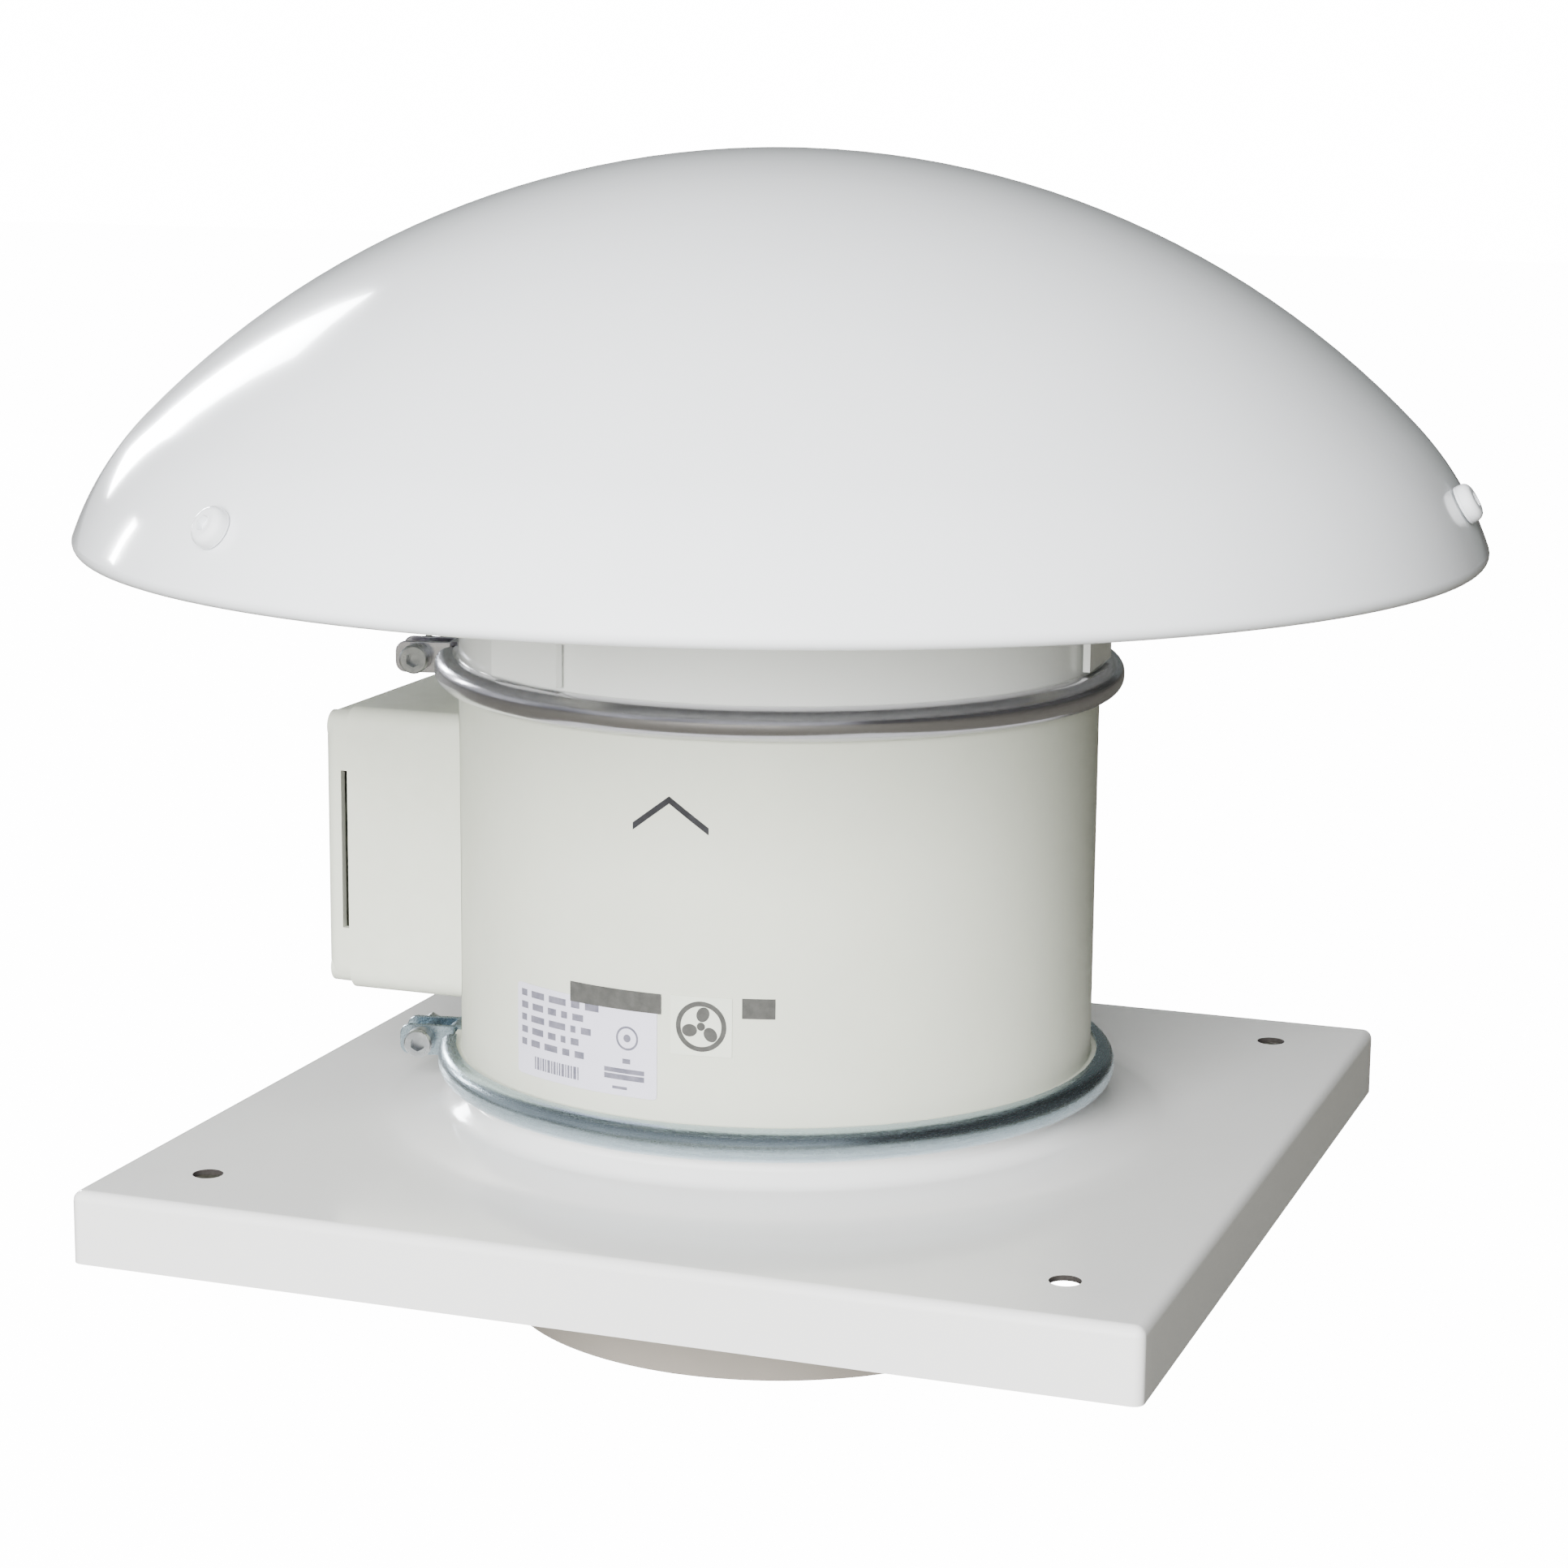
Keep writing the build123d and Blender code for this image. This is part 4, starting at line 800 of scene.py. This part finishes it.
class FAN_OT_fan_casing(bpy.types.Operator):
    """Turns the moulded casing with a bead at each end and the ledge inside"""
    bl_idname = "roof_fan.fan_casing"
    bl_label = "Fan casing"

    def execute(self, context):
        low, high = corner("fan_casing", 0, 2), corner("fan_casing", 1, 2)
        ledge = corner("lead_grommet", 0, 2) - 8.4 * MM
        outer, bore = CASING_RADIUS, CASING_RADIUS - CASING_WALL
        line = rounded([
            (bore, low + 6 * MM, 0), (bore, ledge - 3 * MM, 0.3 * MM),
            (bore - 2 * MM, ledge - 3 * MM, 0.5 * MM),
            (bore - 2 * MM, ledge, 0.3 * MM), (bore, ledge, 0), (bore, high, 0.4 * MM),
            (FLANGE_RADIUS, high, 0.4 * MM), (FLANGE_RADIUS, high - UPPER_BEAD, 0.6 * MM),
            (outer, high - UPPER_BEAD, 0.8 * MM), (outer, low + LOWER_BEAD, 0.6 * MM),
            (FLANGE_RADIUS, low + LOWER_BEAD, 0.5 * MM), (FLANGE_RADIUS, low, 0.4 * MM),
            (bore, low, 0.4 * MM), (bore, low + 6 * MM, 0),
        ], 4)[:-1]
        piece = turn(line, context.scene.fan_shell.steps, closed=True)
        done(piece, "moulded_casing", FINISHES["casing plastic"],
             stands_for=("fan_casing",))
        return {"FINISHED"}


# ------------------------------------------------------------------ base and spigot
class FAN_OT_roof_base(bpy.types.Operator):
    """Draws the collar, bridges it to the square plate, folds the skirt and drills the roof holes"""
    bl_idname = "roof_fan.roof_base"
    bl_label = "Roof base"

    def execute(self, context):
        base = context.scene.fan_base
        top = corner("base_plate", 1, 2)
        collar = CASING_RADIUS
        foot = collar + base.flare
        line = [(FLANGE_RADIUS, top), (collar + 0.4 * MM, top), (collar, top - 0.6 * MM)]
        line += rounded([
            (collar, top - 1.6 * MM, 0), (collar, PLATE_TOP + 8.6 * MM, 2.4 * MM),
            (collar + 5.5 * MM, PLATE_TOP + 4.6 * MM, 9.0 * MM),
            (foot - 10 * MM, PLATE_TOP + 0.9 * MM, 30.0 * MM), (foot, PLATE_TOP, 0),
        ], 6)
        piece = turn(line, context.scene.fan_shell.steps)
        edit(piece)
        pick(piece, "EDGE", lambda e: e.is_boundary and middle(e).xy.length > foot - 1 * MM)
        extrude(CENTRE)
        mesh = bmesh.from_edit_mesh(piece.data)
        for vertex in mesh.verts:
            if vertex.select:
                grow = BASE_HALF / max(abs(vertex.co.x), abs(vertex.co.y))
                vertex.co = Vector((vertex.co.x * grow, vertex.co.y * grow, PLATE_TOP))
        bmesh.update_edit_mesh(piece.data)
        extrude((0, 0, SKIRT_LOW - PLATE_TOP))
        face_out()

        def on_fold(edge):
            across = sorted(map(abs, middle(edge).xy))
            if runs_along(edge, 2):
                return across[0] > BASE_HALF - TOUCH
            return (across[1] > BASE_HALF - TOUCH
                    and min(vertex.co.z for vertex in edge.verts) > PLATE_TOP - TOUCH)

        round_edges(piece, on_fold, base.bend, 5)
        wall(piece, base.sheet)
        reach = base.hole_spacing / 2
        for x in (-reach, reach):
            for y in (-reach, reach):
                cut(piece, rod(base.hole_diameter / 2, 12 * MM, (x, y, PLATE_TOP - 6 * MM), sides=48))
        # The roof holes' walls get a near-black finish: bare cut edge and painted shade.
        finishes = [FINISHES["base enamel"], FINISHES["cut edge and painted shade"]]
        for material in finishes:
            piece.data.materials.append(material)
        for face in piece.data.polygons:
            spot = Vector((abs(face.center.x) - reach, abs(face.center.y) - reach))
            in_hole = spot.length < base.hole_diameter / 2 + 0.05 * MM and abs(face.normal.z) < 0.5
            face.material_index = 1 if in_hole else 0
        done(piece, "roof_base", finishes, stands_for=("base_plate",))
        return {"FINISHED"}


class FAN_OT_duct_spigot(bpy.types.Operator):
    """Turns the duct spigot with a rolled lower edge and its flange under the plate"""
    bl_idname = "roof_fan.duct_spigot"
    bl_label = "Duct spigot"

    def execute(self, context):
        flange = corner("inlet_spigot", 1, 0)
        top = corner("inlet_spigot", 1, 2)
        inner = SPIGOT_RADIUS - SPIGOT_SHEET
        line = rounded([
            (inner, 20 * MM, 0), (inner, 0, 0.5 * MM), (SPIGOT_RADIUS, 0, 0.5 * MM),
            (SPIGOT_RADIUS, top - SPIGOT_SHEET, 2.8 * MM), (flange, top - SPIGOT_SHEET, 0.4 * MM),
            (flange, top, 0.4 * MM), (inner, top, 4.0 * MM), (inner, 20 * MM, 0),
        ], 5)[:-1]
        piece = turn(line, context.scene.fan_shell.steps, closed=True)
        # The spigot's dark enamel carries painted shade from the base above.
        done(piece, "duct_spigot", FINISHES["spigot enamel and painted shade"], stands_for=("inlet_spigot",))
        return {"FINISHED"}


# ------------------------------------------------------------------ labels
def strip(low, high, lift, thick, cell=2.0 * MM):
    """Flat rectangle between two corners, divided so that it can be wrapped."""
    deselect()
    width, height = high[0] - low[0], high[1] - low[1]
    place = ((low[0] + high[0]) / 2, (low[1] + high[1]) / 2, lift)
    bpy.ops.mesh.primitive_plane_add(size=1.0, location=place)
    piece = bpy.context.object
    piece.scale = (width, height, 1)
    settle()
    cuts = int(max(width, height) / cell)
    if cuts:
        edit(piece)
        take_all()
        bpy.ops.mesh.subdivide(number_cuts=min(cuts, 30))
        leave_edit()
    wall(piece, thick, 1.0)
    return piece


def wrapped(piece, azimuth, height):
    """Lays a flat piece round the casing: its X runs round it and its Y goes up."""
    for vertex in piece.data.vertices:
        across, up, lift = vertex.co
        angle = math.radians(azimuth) + across / CASING_RADIUS
        reach = CASING_RADIUS + lift
        vertex.co = (reach * math.cos(angle), reach * math.sin(angle), height + up)
    return piece


def bars(spots, lift, thick):
    """Several printed rectangles (x, y, width, height) in millimetres as one piece."""
    pieces = []
    for x, y, width, height in spots:
        pieces.append(strip((x * MM, y * MM), ((x + width) * MM, (y + height) * MM), lift, thick))
    return joined(pieces)


def flat_ring(radius, width, centre, sides):
    """Printed ring round a centre (x, y)."""
    deselect()
    bpy.ops.mesh.primitive_circle_add(vertices=sides, radius=radius, fill_type="NGON",
                                      location=(*centre, PRINT["lift"]))
    ring = bpy.context.object
    settle()
    edit(ring)
    take_all()
    bpy.ops.mesh.inset(thickness=width)
    bpy.ops.mesh.delete(type="FACE")
    leave_edit()
    wall(ring, PRINT["thick"], 1.0)
    return ring


def flat_dot(radius, centre, sides):
    """Printed dot round a centre (x, y)."""
    return rod(radius, PRINT["thick"], (*centre, PRINT["lift"]), sides=sides)


def printed(piece, name, finish_name, azimuth, height, stands_for=()):
    """Wraps a label film or its print round the casing and mounts it."""
    wrapped(piece, azimuth, height)
    done(piece, name, FINISHES[finish_name], stands_for=stands_for)


class FAN_OT_casing_marks(bpy.types.Operator):
    """Prints the airflow arrow and the grey bars on the casing"""
    bl_idname = "roof_fan.casing_marks"
    bl_label = "Casing marks"

    def execute(self, context):
        lift, thick = 0.04 * MM, 0.06 * MM
        peak = PLATE_TOP + 109.6 * MM
        arrow = section([(-10.6 * MM, -9.1 * MM, lift), (-10.6 * MM, -7.1 * MM, lift)])
        take_all()
        for run, rise in ((10.6, 8.0), (11.0, -8.0)):
            for _ in range(6):
                extrude((run * MM / 6, rise * MM / 6, 0))
        face_out()
        wall(arrow, thick, 1.0)
        printed(arrow, "airflow_arrow", "ink", -88.6, peak)
        grey = bars([(-13.9, -2.8, 28.8, 5.6)], PRINT["lift"], thick)
        wrapped(grey, -99.1, PLATE_TOP + 53.1 * MM)
        small = bars([(-4.5, -2.8, 9.0, 5.6)], lift, thick)
        wrapped(small, -73.2, PLATE_TOP + 53.3 * MM)
        done(joined([grey, small]), "printed_bars", FINISHES["grey ink"])
        return {"FINISHED"}


class FAN_OT_rating_label(bpy.types.Operator):
    """Lays the rating label on the casing with plain blocks in place of words"""
    bl_idname = "roof_fan.rating_label"
    bl_label = "Rating label"

    def execute(self, context):
        azimuth, height = -105.8, PLATE_TOP + 39.0 * MM
        wide, tall = 24.5 * MM, 13.0 * MM
        film = strip((-wide, -tall), (wide, tall), **FILM)
        edit(film)
        pick(film, "EDGE", lambda e: runs_along(e, 2) and abs(middle(e).x) > wide - TOUCH
             and abs(middle(e).y) > tall - TOUCH)
        bpy.ops.mesh.bevel(offset=1.2 * MM, segments=3, affect="EDGES")
        leave_edit()
        printed(film, "rating_film", "label film", azimuth, height, ("rating_label",))
        spots = []
        for row, cells in enumerate((
                (2.4, 5.2, 6.4, 3.0, 4.6), (2.8, 4.4, 3.2, 2.2, 3.8), (2.2, 5.4, 6.2, 1.8, 3.4),
                (2.6, 4.6, 3.0, 1.8, 2.8), (2.2, 3.6, 5.0, 2.6, 3.2))):
            x = -22.6
            for cell in cells:
                spots.append((x, 9.4 - 3.5 * row, cell, 1.9))
                x += cell + 1.9
        spots += [(14.2, -3.8, 2.4, 1.4), (8.4, -8.5, 12.4, 1.5), (8.4, -6.6, 12.4, 1.3),
                  (11.0, -11.2, 4.6, 0.8)]
        printed(bars(spots, **PRINT), "rating_rows", "soft ink", azimuth, height)
        code = []
        x = -17.0
        for width in (0.5, 0.9, 0.4, 0.7, 0.4, 1.0, 0.5, 0.8, 0.4, 0.5, 0.9, 0.4, 0.7, 0.5, 1.0, 0.4):
            code.append((x, -10.8, width, 3.6))
            x += width + 0.45
        printed(bars(code, **PRINT), "rating_code", "soft ink", azimuth, height)
        centre = (15.6 * MM, 3.4 * MM)
        mark = joined([flat_ring(3.4 * MM, 0.6 * MM, centre, 36), flat_dot(1.1 * MM, centre, 20)])
        printed(mark, "rating_ring", "soft ink", azimuth, height)
        return {"FINISHED"}


class FAN_OT_symbol_label(bpy.types.Operator):
    """Lays the square label on the casing and prints a plain fan sign on it"""
    bl_idname = "roof_fan.symbol_label"
    bl_label = "Symbol label"

    def execute(self, context):
        azimuth, height = -82.9, PLATE_TOP + 47.8 * MM
        film = strip((-8.5 * MM, -8.2 * MM), (8.5 * MM, 8.2 * MM), **FILM)
        printed(film, "symbol_film", "pale film", azimuth, height, ("symbol_label",))
        marks = [flat_ring(7.0 * MM, 1.35 * MM, (0, 0), 56), flat_dot(1.15 * MM, (0, 0), 24)]
        for i in range(3):
            deselect()
            bpy.ops.mesh.primitive_circle_add(vertices=28, radius=1.75 * MM, fill_type="NGON")
            blade = bpy.context.object
            blade.scale = (1.0, 1.22, 1.0)
            settle()
            placed(blade, Matrix.Rotation(2 * math.pi * i / 3, 4, "Z")
                   @ Matrix.Translation((0.55 * MM, 3.35 * MM, PRINT["lift"]))
                   @ Matrix.Rotation(math.radians(-24), 4, "Z"))
            wall(blade, PRINT["thick"], 1.0)
            marks.append(blade)
        printed(joined(marks), "symbol_fan", "grey ink", azimuth, height)
        return {"FINISHED"}


# ------------------------------------------------------------------ stage
WHITE = (1.0, 1.0, 1.0)
TARGET = (0, 0, 0.17)
LAMPS = (
    # name, place, width, height, power, colour, whether it shows in gloss only
    ("front softbox", (0.16, -2.35, 0.95), 1.6, 1.6, 262.0, WHITE, False),
    ("rear fill", (-1.3, 2.0, 0.75), 1.6, 1.6, 38.0, WHITE, False),
    ("top softbox", (-0.3, 0.2, 2.3), 1.8, 1.8, 6.0, WHITE, False),
    ("left window", (-1.85, 1.45, 0.95), 0.34, 1.0, 60.0, (0.93, 0.97, 1.0), True),
    ("narrow window", (-2.3, 0.75, 0.62), 0.10, 0.30, 9.0, (0.97, 0.99, 1.0), True),
)
FLOOR_GLOW = 15.0
AIR_GLOW = 16.0
LENS = 82.51
CAMERA_PLACE = (0.3468, -0.9658, 0.3596)
CAMERA_TURN = ((0.94103, -0.07499, 0.32991), (0.33820, 0.18233, -0.92324), (0.00908, 0.98038, 0.19694))


def stage_light(name, place, width, height, power, colour, gloss_only):
    deselect()
    bpy.ops.object.light_add(type="AREA", location=place)
    lamp = bpy.context.object
    lamp.name = name
    lamp.rotation_euler = (Vector(TARGET) - Vector(place)).to_track_quat("-Z", "Y").to_euler()
    lamp.data.shape = "RECTANGLE"
    lamp.data.size = width
    lamp.data.size_y = height
    lamp.data.energy = power
    lamp.data.color = colour
    lamp.visible_glossy = gloss_only
    lamp.visible_diffuse = not gloss_only


def seen_bright(material, strength):
    """Adds white to what the camera sees of the floor, and lets it look through from below."""
    tree = material.node_tree
    shader = tree.nodes["Principled BSDF"]
    path = put(tree, "ShaderNodeLightPath").outputs["Is Camera Ray"]
    glow = maths(tree, "MULTIPLY", path, strength)
    shader.inputs["Emission Color"].default_value = rgba(WHITE)
    tree.links.new(glow, shader.inputs["Emission Strength"])
    below = put(tree, "ShaderNodeNewGeometry").outputs["Backfacing"]
    tree.links.new(maths(tree, "SUBTRACT", 1.0, below), shader.inputs["Alpha"])


def towards(azimuth, height):
    """Unit direction at these two angles in degrees."""
    around, up = math.radians(azimuth), math.radians(height)
    return (math.cos(around) * math.cos(up), math.sin(around) * math.cos(up), math.sin(up))


ROOM = (
    # azimuth, height, half width in degrees, colour, share
    (88.0, 20.0, 40.0, (0.09, 0.105, 0.095), 0.90),
    (112.0, 36.0, 12.0, (0.26, 0.245, 0.225), 0.80),
    (16.0, 6.0, 62.0, (0.05, 0.05, 0.045), 0.92),
    (-40.0, 0.0, 14.0, (0.10, 0.10, 0.10), 0.85),
    (-104.0, 2.0, 13.0, (0.10, 0.10, 0.12), 0.80),
    (-146.0, 0.0, 15.0, (0.10, 0.11, 0.13), 0.85),
    (168.0, -4.0, 12.0, (0.14, 0.15, 0.17), 0.75),
)


def studio_air(tree):
    """Soft air with darker parts of a room round it; the camera sees it white."""
    tree.nodes.clear()
    way = put(tree, "ShaderNodeTexCoord").outputs["Generated"]
    up = put(tree, "ShaderNodeSeparateXYZ", {"Vector": way}).outputs["Z"]
    colour = mix(tree, spread(tree, up, -0.1, 0.9), (0.92, 0.94, 0.96, 1.0), (0.22, 0.225, 0.24, 1.0))
    for azimuth, height, width, tint, share in ROOM:
        near = put(tree, "ShaderNodeVectorMath", {0: way, 1: towards(azimuth, height)},
                   operation="DOT_PRODUCT").outputs["Value"]
        edge = math.cos(math.radians(width))
        amount = put(tree, "ShaderNodeMapRange",
                     {"Value": near, "From Min": edge - 0.02, "From Max": edge + 0.05,
                      "To Min": 0.0, "To Max": share},
                     interpolation_type="SMOOTHSTEP").outputs["Result"]
        colour = mix(tree, amount, colour, rgba(tint))
    air = put(tree, "ShaderNodeBackground", {"Color": colour, "Strength": 1.0})
    seen = put(tree, "ShaderNodeBackground", {"Color": rgba(WHITE), "Strength": AIR_GLOW})
    path = put(tree, "ShaderNodeLightPath")
    both = put(tree, "ShaderNodeMixShader", {0: path.outputs["Is Camera Ray"], 1: air.outputs[0],
                                             2: seen.outputs[0]})
    out = put(tree, "ShaderNodeOutputWorld")
    tree.links.new(both.outputs[0], out.inputs["Surface"])


class FAN_OT_stage(bpy.types.Operator):
    """Sets up the pale floor, the soft lights and the camera"""
    bl_idname = "roof_fan.stage"
    bl_label = "Stage"

    def execute(self, context):
        deselect()
        bpy.ops.mesh.primitive_plane_add(size=12.0, location=(0, 0, -0.0005))
        floor = context.object
        floor.name = "pale_floor"
        settle()
        paving = finish("Pale floor", (0.15, 0.145, 0.12), (0.14, 0.135, 0.11), scale=2.0, rough=(0.75, 0.85),
                        grain=(300.0, 0.2, 0.02), specular=0.2)
        seen_bright(paving, FLOOR_GLOW)
        floor.data.materials.append(paving)
        world = context.scene.world or bpy.data.worlds.new("Studio air")
        context.scene.world = world
        world.use_nodes = True
        studio_air(world.node_tree)
        for lamp in LAMPS:
            stage_light(*lamp)
        bpy.ops.object.camera_add()
        camera = context.object
        camera.name = "studio_camera"
        camera.data.sensor_width = 36.0
        camera.data.lens = LENS
        camera.data.clip_start = 0.05
        camera.matrix_world = Matrix.Translation(CAMERA_PLACE) @ Matrix(CAMERA_TURN).to_4x4()
        context.scene.camera = camera
        return {"FINISHED"}


# ------------------------------------------------------------------ panel and registration
PIECE_OPERATORS = (
    FAN_OT_frame_finishes, FAN_OT_weather_hood, FAN_OT_hood_screws, FAN_OT_discharge_neck, FAN_OT_ring_clamps,
    FAN_OT_fan_casing, FAN_OT_roof_base, FAN_OT_duct_spigot, FAN_OT_casing_marks, FAN_OT_rating_label,
    FAN_OT_symbol_label, FAN_OT_stage,
)
SETTINGS = (HoodSettings, ShellSettings, BaseSettings, LabelSettings)
SETTING_NAMES = ("fan_hood", "fan_shell", "fan_base", "fan_label")


class FAN_PT_panel(bpy.types.Panel):
    bl_idname = "FAN_PT_panel"
    bl_label = "Roof exhaust fan"
    bl_space_type = "VIEW_3D"
    bl_region_type = "UI"
    bl_category = "Roof fan"

    def draw(self, context):
        layout = self.layout
        for name, group in zip(SETTING_NAMES, SETTINGS):
            box = layout.box()
            for key in group.__annotations__:
                box.prop(getattr(context.scene, name), key)
        for operator in PIECE_OPERATORS:
            layout.operator(operator.bl_idname)


def register():
    for group in SETTINGS + PIECE_OPERATORS + (FAN_PT_panel,):
        bpy.utils.register_class(group)
    for name, group in zip(SETTING_NAMES, SETTINGS):
        setattr(bpy.types.Scene, name, PointerProperty(type=group))


def unregister():
    for name in SETTING_NAMES:
        delattr(bpy.types.Scene, name)
    for group in reversed(SETTINGS + PIECE_OPERATORS + (FAN_PT_panel,)):
        bpy.utils.unregister_class(group)


def main():
    register()
    for operator in PIECE_OPERATORS:
        family, name = operator.bl_idname.split(".")
        getattr(getattr(bpy.ops, family), name)()


if __name__ == "__main__":
    main()
